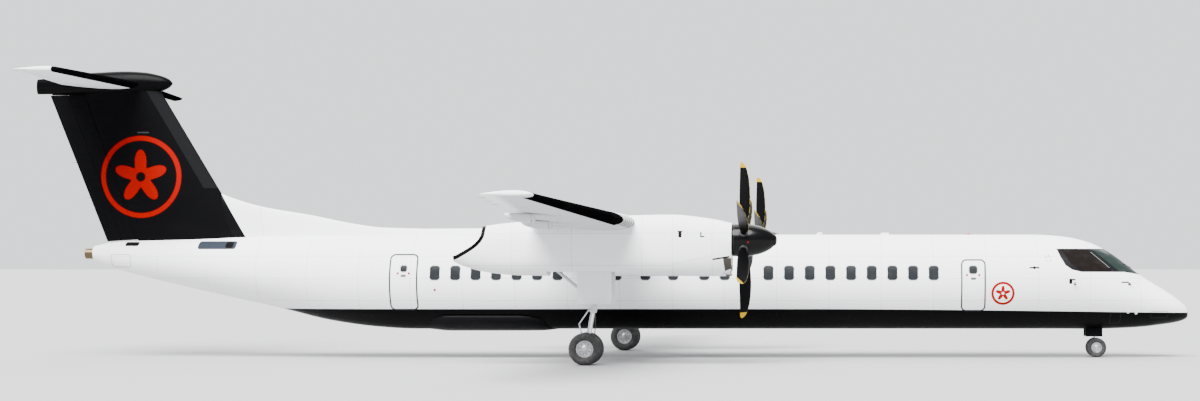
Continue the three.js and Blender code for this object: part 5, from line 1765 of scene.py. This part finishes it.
class AIRLINER_OT_fittings(bpy.types.Operator):
    """Add antennas, beacons, lamps, probes, wipers and static wicks"""
    bl_idname = "airliner.fittings"
    bl_label = "Lamps, antennas and probes"

    def execute(self, context):
        def top(x):
            return HULL.section(x)[0] + CENTRE_Z

        rows = ((7.9, 0.35, 0.05), (6.0, 0.22, 0.06))
        white = [painted(blade_antenna(x, top(x), *size), "antenna_paint") for x, *size in rows]
        dress(gather(*white), "antennas", "airframe", "white_paint", sharp=50)

        lamps = [painted(dome(Vector((10.12, 0, top(10.12))), UP, 0.075, 0.05), "lamp_red")]
        for x, z in ((14.59, -0.85), (14.82, -0.88)):
            for side in (1, -1):
                lamps.append(painted(dome(*HULL.skin(x, z, side), 0.045, 0.018), "lamp_glass"))
        for side, colour in ((1, "lamp_red"), (-1, "lamp_green")):
            at = Vector((-0.16, side * (HALF_SPAN - 0.1), wing_height(HALF_SPAN) + 0.004))
            lamps.append(painted(dome(at, Vector((0.75, side * 0.1, 0.0)), 0.035, 0.055), colour))
        lamps.append(painted(dome(spot(-16.4, 0, 5.62), -AHEAD, 0.045, 0.013), "lamp_glass"))
        dress(gather(*lamps), "lamps", "airframe", "dark_glass", sharp=50)

        probes = []
        for side in (1, -1):
            for x, z in ((14.62, -0.06), (13.05, -0.05)):
                point, normal = HULL.skin(x, z, side)
                stem = point + 0.09 * normal
                pad = inlay(around(x, z, 0.045, 0.045, 0.04), side, -0.004, 0.0015)
                probes += [
                    painted(rod(point - 0.01 * normal, stem, 0.014, 0.01), "bare_metal"),
                    painted(rod(stem - 0.05 * AHEAD, stem + 0.16 * AHEAD, 0.009, 0.006), "bare_metal"),
                    painted(pad, "antenna_dark"),
                ]
            root, tip = flush([(14.8, 0.395)], side, 0.012), flush([(14.52, 0.5)], side, 0.014)
            probes.append(painted(rod(*root, *tip, 0.007), "dark_rubber"))
        dress(gather(*probes), "probes", "airframe", "gear_steel", sharp=50)

        wick_sets = {"left_aileron": [], "left_elevator": [], "trailing_rudder": []}
        for y in (11.2, 12.2, 13.2):
            t = outboard(y)
            back = mix(*WING_LEAD, t) - mix(*WING_CHORD, t)
            wick_sets["left_aileron"].append(Vector((back, y, wing_height(y))))
        for y in (3.4, 4.1):
            wick_sets["left_elevator"].append(Vector((tail_lead(y) - tail_chord(y), y, TAILPLANE_Z)))
        for z in (2.4, 3.4, 4.4):
            wick_sets["trailing_rudder"].append(spot(slanted(FIN_TRAIL, z), 0, z))
        for body, places in wick_sets.items():
            wicks = [rod(at + 0.02 * AHEAD, at - 0.16 * AHEAD, 0.005, 0.002, sides=8) for at in places]
            piece = painted(gather(*wicks), "dark_rubber")
            if "left" in body:
                right = body.replace("left", "right")
                dress(twin(piece, MIRROR), "wicks_" + right, right, "charcoal_paint")
            dress(piece, "wicks_" + body, body, "charcoal_paint")
        return {"FINISHED"}


# Finishes

def metal(colour, roughness, brushed=0.1, stain=0.25):
    """Bare or brushed metal with worn patches and fine scratches."""
    sheet = Finish({"Metallic": 1.0})
    dirt = sheet.smooth(sheet.noise(6, 4), 0.45, 0.8) * stain
    fine = sheet.noise(90, 3, (1, 0.15, 1))
    layers = [(dirt, (0.1, 0.085, 0.07))]
    return sheet.look(colour, layers, fine * brushed + dirt * 0.3 + roughness, fine, 0.0004)


def moulded(colour, roughness, grain=0.0006, scale=220, coat=0.0, dust=0.15):
    """Moulded or painted small parts, with a fine grain and dust in patches."""
    sheet = Finish(coat=coat)
    cloud = sheet.smooth(sheet.noise(4, 4), 0.45, 0.8) * dust
    rough = sheet.noise(9, 3) * 0.16 + (roughness - 0.08)
    return sheet.look(colour, [(cloud, (0.25, 0.22, 0.19))], rough, sheet.noise(scale, 2), grain)


def glass(colour, roughness):
    """Dark, opaque glazing with faint smears."""
    sheet = Finish({"IOR": 1.5, "Specular IOR Level": 0.05})
    smear = sheet.smooth(sheet.noise(3, 4, (1, 1, 2)), 0.4, 0.8)
    layers = [(smear * 0.15, tuple(2.2 * c + 0.02 for c in colour))]
    return sheet.look(colour, layers, smear * 0.06 + roughness, sheet.noise(2.0, 1), 0.002)


def lamp(colour):
    """A ribbed lens."""
    sheet = Finish({"IOR": 1.45}, 0.6)
    ribs = sheet.smooth((sheet.x + sheet.y).nearest(0.02), 0.002, 0.006)
    return sheet.look(tuple(0.55 * c for c in colour), [(ribs, colour)], ribs * 0.05 + 0.12, ribs, 0.001)


BOOT_TONE = (0.0015, 0.0015, 0.0017)
BOOT_INNER_END = 6.1
SEAM = 0.014


def wing_paint():
    def edge(sheet):
        """How far a point lies behind the leading edge, the chord there, its distance from the middle."""
        out = abs(sheet.y)
        t = ((out - NACELLE_Y) / (HALF_SPAN - NACELLE_Y)).most(0)
        return mix(*WING_LEAD, t) - sheet.x, mix(*WING_CHORD, t), out

    def boot(sheet):
        """The rubber boot on the leading edge outboard of the nacelle."""
        back, chord, out = edge(sheet)
        start = sheet.smooth(out, BOOT_INNER_END + 0.012, BOOT_INNER_END + 0.03)
        return sheet.smooth(back, 0.25, 0.24) * start * sheet.smooth(out, 13.92, 13.9)

    def cuff(sheet):
        """Bare metal between the boot and the nacelle."""
        back, chord, out = edge(sheet)
        rings = sheet.line(out.nearest(0.21), 0.075)
        span = sheet.smooth(out, 4.976, 4.984) * sheet.inside(out - BOOT_INNER_END, 0.004)
        return sheet.smooth(back, 0.17, 0.16) * span * (rings * 0.7 + 0.25)

    def under(sheet):
        """Painted shade: the underside is painted a little greyer, for the shade under the wing."""
        mean = (abs(sheet.y) - NACELLE_Y).most(0) * tan(DIHEDRAL) + (WING_Z - 0.02)
        return sheet.smooth(sheet.z - mean, 0.0, -0.03)

    def seams(sheet):
        back, chord, out = edge(sheet)
        lines = sheet.line((out - 0.4).nearest(1.35), 0.01)
        for share in (0.16, 0.62):
            lines = lines.most(sheet.line(back / chord - share, 0.005, 0.002))
        return lines

    layers = [(under, (0.54, 0.55, 0.56)), (boot, BOOT_TONE), (cuff, (0.05, 0.053, 0.056))]
    return enamel(colours().white, layers, seams=seams, shine=0.0)


VENTS = [
    (2.36, 1.27, 0.045, 0.08), (2.36, 1.35, 0.075, 0.018), (2.9, 1.27, 0.018, 0.07),
    (2.94, 1.215, 0.055, 0.018),
]


def nacelle_paint():
    def edge(sheet):
        """The dark lip round the exhaust opening."""
        far = reduce(Value.least, [sheet.bar(*ends) for ends in zip(EXHAUST_LIP, EXHAUST_LIP[1:])])
        return sheet.smooth(far, 0.105, 0.095)

    def flank(sheet):
        return sheet.smooth(abs(abs(sheet.y) - NACELLE_Y), 0.22, 0.3)

    def vents(sheet):
        return marks_mask(VENTS, 0.5)(sheet) * flank(sheet)

    def seams(sheet):
        lap = sheet.line(sheet.height - 0.46, SEAM) * sheet.smooth(sheet.x, 2.2, 2.18)
        lines = [sheet.line(sheet.height - 1.3, SEAM), lap]
        lines += [sheet.line(sheet.x - x, SEAM) for x in (-2.05, -0.46, 1.36, 2.16, 3.19)]
        lines.append(sheet.line(sheet.bar((2.14, 0.49), (3.19, 0.71)), SEAM))
        return reduce(Value.most, lines) * 0.8

    def scoop(sheet):
        """The bare lip of the chin intake."""
        front = sheet.x + (sheet.height - 0.45) * 0.12
        return sheet.smooth(front, 3.49, 3.5) * sheet.smooth(sheet.height, 0.665, 0.655)

    def painted_notch_shade(sheet):
        """Painted shade: a dark line over the intake lip, for the shade in the gap between the cowl and the
        scoop.
        """
        return sheet.smooth(sheet.bar((3.22, 0.625), (3.62, 0.69)), 0.028, 0.018) * flank(sheet)

    layers = [
        (edge, colours().black), (vents, (0.006, 0.006, 0.006)), (scoop, (0.05, 0.046, 0.04)),
        (painted_notch_shade, (0.01, 0.01, 0.01)),
    ]
    return enamel(colours().white, layers, seams=seams, grime=0.2)


def fin_paint():
    def boot(sheet):
        """Grey boot along the leading edge."""
        back = slanted(FIN_LEAD, sheet.height) - sheet.x
        return sheet.smooth(back, 0.37, 0.355) * sheet.smooth(sheet.height, 2.65, 2.68)

    def strip(sheet):
        return sheet.inside(sheet.frame(-13.5, -13.17, 4.225, 4.262, 0.015), 0.005)

    def seams(sheet):
        spar = sheet.line(sheet.bar((-12.9, 1.2), (-14.3, 5.4)), 0.01)
        return sheet.line((sheet.height - 0.9).nearest(1.35), 0.01).most(spar)

    layers = [
        (boot, (0.0075, 0.0078, 0.0085)), (strip, (0.03, 0.031, 0.033)),
        (rosette_mask(-13.408, 2.984, 1.168), colours().red),
    ]
    return enamel(colours().charcoal, layers, 0.36, seams, 0.02, 0.01)


def tailplane_paint():
    def boot(sheet):
        return sheet.smooth(tail_lead(sheet.y) - sheet.x, 0.25, 0.24)

    # Painted shade: the underside is painted a little greyer, for the shade under the tailplane.
    def under(sheet):
        return sheet.smooth(sheet.z - TAILPLANE_Z, 0.0, -0.02) * 0.5

    layers = [(under, (0.5, 0.51, 0.52)), (boot, BOOT_TONE)]
    seams = seam_grid(0.75, 9.0, 0.2, 4.5)
    return enamel(colours().white, layers, seams=seams, shine=0.0)


def dorsal_paint():
    def dark(sheet):
        """The fin's colour behind the line of its leading edge."""
        return sheet.smooth(slanted(FIN_LEAD, sheet.height) - sheet.x, -0.006, 0.006)

    def line(sheet):
        return sheet.line(sheet.bar((-10.05, 2.12), (-9.92, 1.31)), SEAM)
    return enamel(colours().white, [(dark, colours().charcoal)], seams=line)


def belly_paint():
    """The belly's black, a little lighter."""
    tone = tuple(3.0 * c for c in colours().black)
    return enamel(tone, seams=seam_grid(0.8, 4.0, 0.3, 2.0), grime=0.25)


def blade_tip(sheet):
    """Distance from the propeller's axis, and the mask of the coloured tip."""
    radius = sheet.root(abs(sheet.y) - NACELLE_Y, sheet.z - HUB.z)
    return radius, sheet.smooth(radius, PROP_RADIUS - 0.155, PROP_RADIUS - 0.145)


def blade_paint():
    """Composite blade: satin black with a yellow tip and fine worn streaks."""
    sheet = Finish({"Specular IOR Level": 0.03})
    wear = sheet.smooth(sheet.noise(14, 4), 0.52, 0.8) * 0.35
    layers = [(wear, (0.006, 0.006, 0.006)), (blade_tip(sheet)[1], colours().yellow)]
    return sheet.look(colours().blade, layers, sheet.noise(30, 3) * 0.2 + 0.32, sheet.noise(120, 2), 0.0005)


def blade_edge():
    """Erosion strip along a blade's leading edge, dark with yellowed patches."""
    sheet = Finish({"Specular IOR Level": 0.2})
    radius, tip = blade_tip(sheet)
    worn = sheet.smooth(radius.nearest(0.23), 0.03, 0.045)
    layers = [(worn, (0.34, 0.24, 0.02)), (tip, colours().yellow)]
    rough = sheet.noise(60, 3) * 0.2 + 0.35
    return sheet.look((0.012, 0.012, 0.012), layers, rough, sheet.noise(160, 2), 0.0005)


def spinner_paint():
    """Glossy black with a red dot, a joint line and chips near the tip."""
    sheet = Finish({"Specular IOR Level": 0.12}, 0.03)
    dot = sheet.smooth(sheet.root(sheet.x - HUB.x - 0.12, sheet.z - HUB.z + 0.06), 0.028, 0.018)
    joint = sheet.line(sheet.x - HUB.x + 0.26, 0.01)
    chips = sheet.smooth(sheet.noise(22, 5), 0.66, 0.74) * sheet.smooth(sheet.x, HUB.x + 0.2, HUB.x + 0.8)
    layers = [(chips * 0.5, (0.02, 0.02, 0.02)), (joint, (0.02, 0.02, 0.02)), (dot, colours().red)]
    peel = sheet.noise(200, 1) * 0.05 - joint
    return sheet.look(colours().black, layers, sheet.noise(5, 3) * 0.12 + 0.16, peel, 0.001)


def tyre_finish():
    """Black rubber with patches of dust."""
    sheet = Finish()
    layers = [(sheet.smooth(sheet.noise(9, 5), 0.42, 0.75) * 0.4, (0.11, 0.1, 0.09))]
    rough = sheet.noise(40, 3) * 0.2 + 0.7
    return sheet.look((0.022, 0.022, 0.023), layers, rough, sheet.noise(300, 2), 0.0012)


def seat_cloth():
    """Woven cloth: two sets of threads that cross."""
    sheet = Finish({"Sheen Weight": 0.3})
    across_y, across_z = (sheet.smooth(way.nearest(0.006), 0, 0.003) for way in (sheet.y, sheet.z))
    weave = (across_y + across_z) * 0.5
    layers = [(weave * 0.6, (0.1, 0.12, 0.16))]
    return sheet.look((0.035, 0.045, 0.07), layers, weave * 0.1 + 0.8, weave, 0.001)


def screen_finish():
    """A dark display with a few dim bars."""
    sheet = Finish({"Emission Strength": 0.4}, 0.3)
    bars = sheet.line(sheet.z.nearest(0.045), 0.008, 0.002) * sheet.smooth(sheet.y.nearest(0.22), 0.03, 0.04)
    sheet.set("Emission Color", sheet.paint((0.0, 0.0, 0.0), (bars, (0.05, 0.35, 0.3))))
    return sheet.look((0.01, 0.012, 0.016), [(bars, (0.05, 0.25, 0.22))], sheet.noise(5) * 0.05 + 0.2)


def floor_finish():
    sheet = Finish()
    layers = [(sheet.noise(0.3, 3) * 0.2, (0.32, 0.32, 0.325))]
    return sheet.look((0.34, 0.34, 0.345), layers, sheet.noise(2.0, 3) * 0.1 + 0.85)


FINISHES = {"tyre": tyre_finish, "screen": screen_finish, "studio_floor": floor_finish} | {
    maker.__name__: maker for maker in (
        fuselage_paint, wing_paint, nacelle_paint, fin_paint, tailplane_paint, dorsal_paint, belly_paint,
        blade_paint, blade_edge, spinner_paint, seat_cloth,
    )
}
# Enamels without layers: colour, seams, dirt
ENAMELS = {
    "hull_white": ("white", seam_grid(1.1, 0.6, 0.2, 0.05), 0.12),
    "bullet_paint": ("black", seam_grid(1.3, 6.0, 0.4, 3.0), 0.05),
    "gear_door_paint": ("white", None, 0.3),
    "antenna_paint": ("white", None, 0.12),
    "gear_paint": ((0.62, 0.63, 0.64), None, 0.4),
    "antenna_dark": ((0.03, 0.03, 0.032), None, 0.12),
}
# The other finishes by their kind: colour, roughness and what follows in the kind's arguments
KINDS = (
    (metal, {
        "rim": ((0.62, 0.63, 0.65), 0.32, 0.1, 0.45),
        "brake": ((0.18, 0.17, 0.17), 0.45, 0.15, 0.6),
        "chrome": ((0.75, 0.76, 0.78), 0.08, 0.05, 0.1),
        "bare_metal": ((0.5, 0.51, 0.53), 0.3),
        "fastener": ((0.42, 0.43, 0.45), 0.35),
        "polished_lip": ((0.66, 0.67, 0.7), 0.18, 0.06, 0.1),
        "bronze": ((0.12, 0.085, 0.045), 0.32, 0.1, 0.5),
        "heat_metal": ((0.22, 0.17, 0.13), 0.42, 0.15, 0.6),
        "engine_metal": ((0.3, 0.3, 0.31), 0.42, 0.15, 0.6),
    }),
    (moulded, {
        # Soot in the exhausts and the tail pipe; the same dark finish on the sheet at the back of the intake
        # is painted shade.
        "soot_and_painted_shade": ((0.012, 0.011, 0.01), 0.85, 0.002, 60, 0.0, 0.05),
        "dark_rubber": ((0.018, 0.018, 0.019), 0.65),
        "deck_plastic": ((0.05, 0.055, 0.065), 0.6, 0.001, 350),
        "window_frame": ((0.42, 0.43, 0.45), 0.35, 0.0004, 150, 0.2, 0.1),
    }),
    (glass, {
        "cabin_glass": ((0.016, 0.018, 0.02), 0.2),
        "cockpit_glass": ((0.007, 0.0055, 0.005), 0.12),
        "windshield_glass": ((0.012, 0.019, 0.017), 0.12),
    }),
    (lamp, {
        "lamp_red": ((0.55, 0.02, 0.015),),
        "lamp_green": ((0.01, 0.35, 0.1),),
        "lamp_glass": ((0.75, 0.76, 0.78),),
    }),
)
MADE = {}


def make_finish(name):
    if name in FINISHES:
        return FINISHES[name]()
    if name in ENAMELS:
        colour, seams, grime = ENAMELS[name]
        if isinstance(colour, str):
            colour = getattr(colours(), colour)
        return enamel(colour, seams=seams, grime=grime)
    maker, values = next((maker, table[name]) for maker, table in KINDS if name in table)
    return maker(*values)


def finish(name):
    """The material of a finish, made when it is first asked for."""
    if name not in MADE:
        MADE[name] = make_finish(name).material
        MADE[name].name = name
    return MADE[name]


# Settings

def tint(name, description, default):
    return FloatVectorProperty(
        name=name, description=description, default=default, subtype="COLOR", size=3, min=0, max=1,
    )


def length(name, description, default, low, high):
    return FloatProperty(
        name=name, description=description, default=default, unit="LENGTH", min=low, max=high,
    )


class AirlinerColours(bpy.types.PropertyGroup):
    white: tint("White", "Enamel of the fuselage, nacelles and wing", (0.86, 0.865, 0.875))
    black: tint("Black", "Belly, bullet, spinners and boots", (0.0014, 0.0014, 0.0016))
    charcoal: tint("Charcoal", "Fin and rudders", (0.003, 0.003, 0.0034))
    red: tint("Red", "Tail ring and small marks", (0.24, 0.0012, 0.0006))
    yellow: tint("Yellow", "Tips of the propeller blades", (0.42, 0.26, 0.006))
    blade: tint("Blade", "Propeller blades", (0.0022, 0.0022, 0.0025))


class AirlinerSizes(bpy.types.PropertyGroup):
    window_width: length("Window width", "Width of a cabin window", 0.279, 0.1, 0.5)
    window_height: length("Window height", "Height of a cabin window", 0.4, 0.1, 0.6)
    camera_distance: length("Camera distance", "From the fuselage's middle plane", 55, 20, 200)


# Stage

PIXELS_PER_METRE = 35.02
FRAME_WIDTH = 1200
SENSOR = 36.0
FLOOR_REACH = 900


class AIRLINER_OT_stage(bpy.types.Operator):
    """Set the pale floor, the soft studio light and the camera"""
    bl_idname = "airliner.stage"
    bl_label = "Floor, light and camera"

    def execute(self, context):
        distance = sizes().camera_distance
        data = bpy.data.cameras.new("side_view")
        data.sensor_width = SENSOR
        data.lens = PIXELS_PER_METRE * distance / FRAME_WIDTH * SENSOR
        data.shift_x = -0.21
        data.shift_y = 0.053
        data.clip_end = 3000
        camera = bpy.data.objects.new("side_view", data)
        camera.location = (6.83, -distance, CENTRE_Z + 0.5)
        camera.rotation_euler = (pi / 2, 0, 0)
        context.scene.collection.objects.link(camera)
        context.scene.camera = camera

        corners = [(x * FLOOR_REACH, y * FLOOR_REACH, 0) for x, y in ((-1, -1), (1, -1), (1, 1), (-1, 1))]
        floor = make(corners, [(0, 1, 2, 3)])
        floor.name = "studio_floor"
        if floor.data.polygons[0].normal.z < 0:
            floor.data.flip_normals()
        floor.data.materials.append(finish("studio_floor"))
        floor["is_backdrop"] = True

        world = bpy.data.worlds.new("studio")
        world.use_nodes = True
        nodes, links = world.node_tree.nodes, world.node_tree.links
        sky = nodes["Background"]
        sky.inputs["Color"].default_value = (0.95, 0.965, 1.0, 1)
        rays = nodes.new("ShaderNodeLightPath")
        previous = None
        for output, strength in (("Is Glossy Ray", 0.8), ("Is Camera Ray", 1.6)):
            blend = nodes.new("ShaderNodeMix")
            links.new(rays.outputs[output], blend.inputs[0])
            blend.inputs[2].default_value = 1.0
            blend.inputs[3].default_value = strength
            if previous:
                links.new(previous, blend.inputs[2])
            previous = blend.outputs[0]
        links.new(previous, sky.inputs["Strength"])
        context.scene.world = world
        for name, place, energy, width in (("key", (-5, -22, 34), 16, 45), ("back", (-6, 30, 30), 3.5, 70)):
            data = bpy.data.lights.new(name, "SUN")
            data.energy, data.angle = energy, radians(width)
            light = bpy.data.objects.new(name, data)
            light.location = place
            light.rotation_euler = (-Vector(place)).to_track_quat("-Z", "Y").to_euler()
            context.scene.collection.objects.link(light)
        return {"FINISHED"}


class AIRLINER_PT_panel(bpy.types.Panel):
    """Colours, sizes and building steps of the airliner"""
    bl_idname = "AIRLINER_PT_panel"
    bl_label = "Turboprop airliner"
    bl_space_type = "VIEW_3D"
    bl_region_type = "UI"
    bl_category = "Airliner"

    def draw(self, context):
        for group in (context.scene.airliner_colours, context.scene.airliner_sizes):
            box = self.layout.box()
            for key in group.__annotations__:
                box.prop(group, key)
        for step in STEPS:
            self.layout.operator(step.bl_idname)


STEPS = (
    AIRLINER_OT_stage,
    AIRLINER_OT_fuselage,
    AIRLINER_OT_glazing,
    AIRLINER_OT_wing,
    AIRLINER_OT_fairings,
    AIRLINER_OT_tail,
    AIRLINER_OT_nacelles,
    AIRLINER_OT_propellers,
    AIRLINER_OT_gear,
    AIRLINER_OT_flight_deck,
    AIRLINER_OT_fittings,
)
CLASSES = (AirlinerColours, AirlinerSizes, *STEPS, AIRLINER_PT_panel)


def register():
    for kind in CLASSES:
        bpy.utils.register_class(kind)
    bpy.types.Scene.airliner_colours = PointerProperty(type=AirlinerColours)
    bpy.types.Scene.airliner_sizes = PointerProperty(type=AirlinerSizes)


def unregister():
    del bpy.types.Scene.airliner_sizes
    del bpy.types.Scene.airliner_colours
    for kind in reversed(CLASSES):
        bpy.utils.unregister_class(kind)


def main():
    register()
    for step in STEPS:
        group, name = step.bl_idname.split(".")
        getattr(getattr(bpy.ops, group), name)()
    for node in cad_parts:
        if node.startswith("engine_"):
            piece = bpy.data.objects[node]
            for slot in piece.material_slots:
                slot.material = finish("engine_metal")
    numbers = [[list(corner) for corner in box] for box in (CAD_BOX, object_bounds())]


if __name__ == "__main__":
    main()
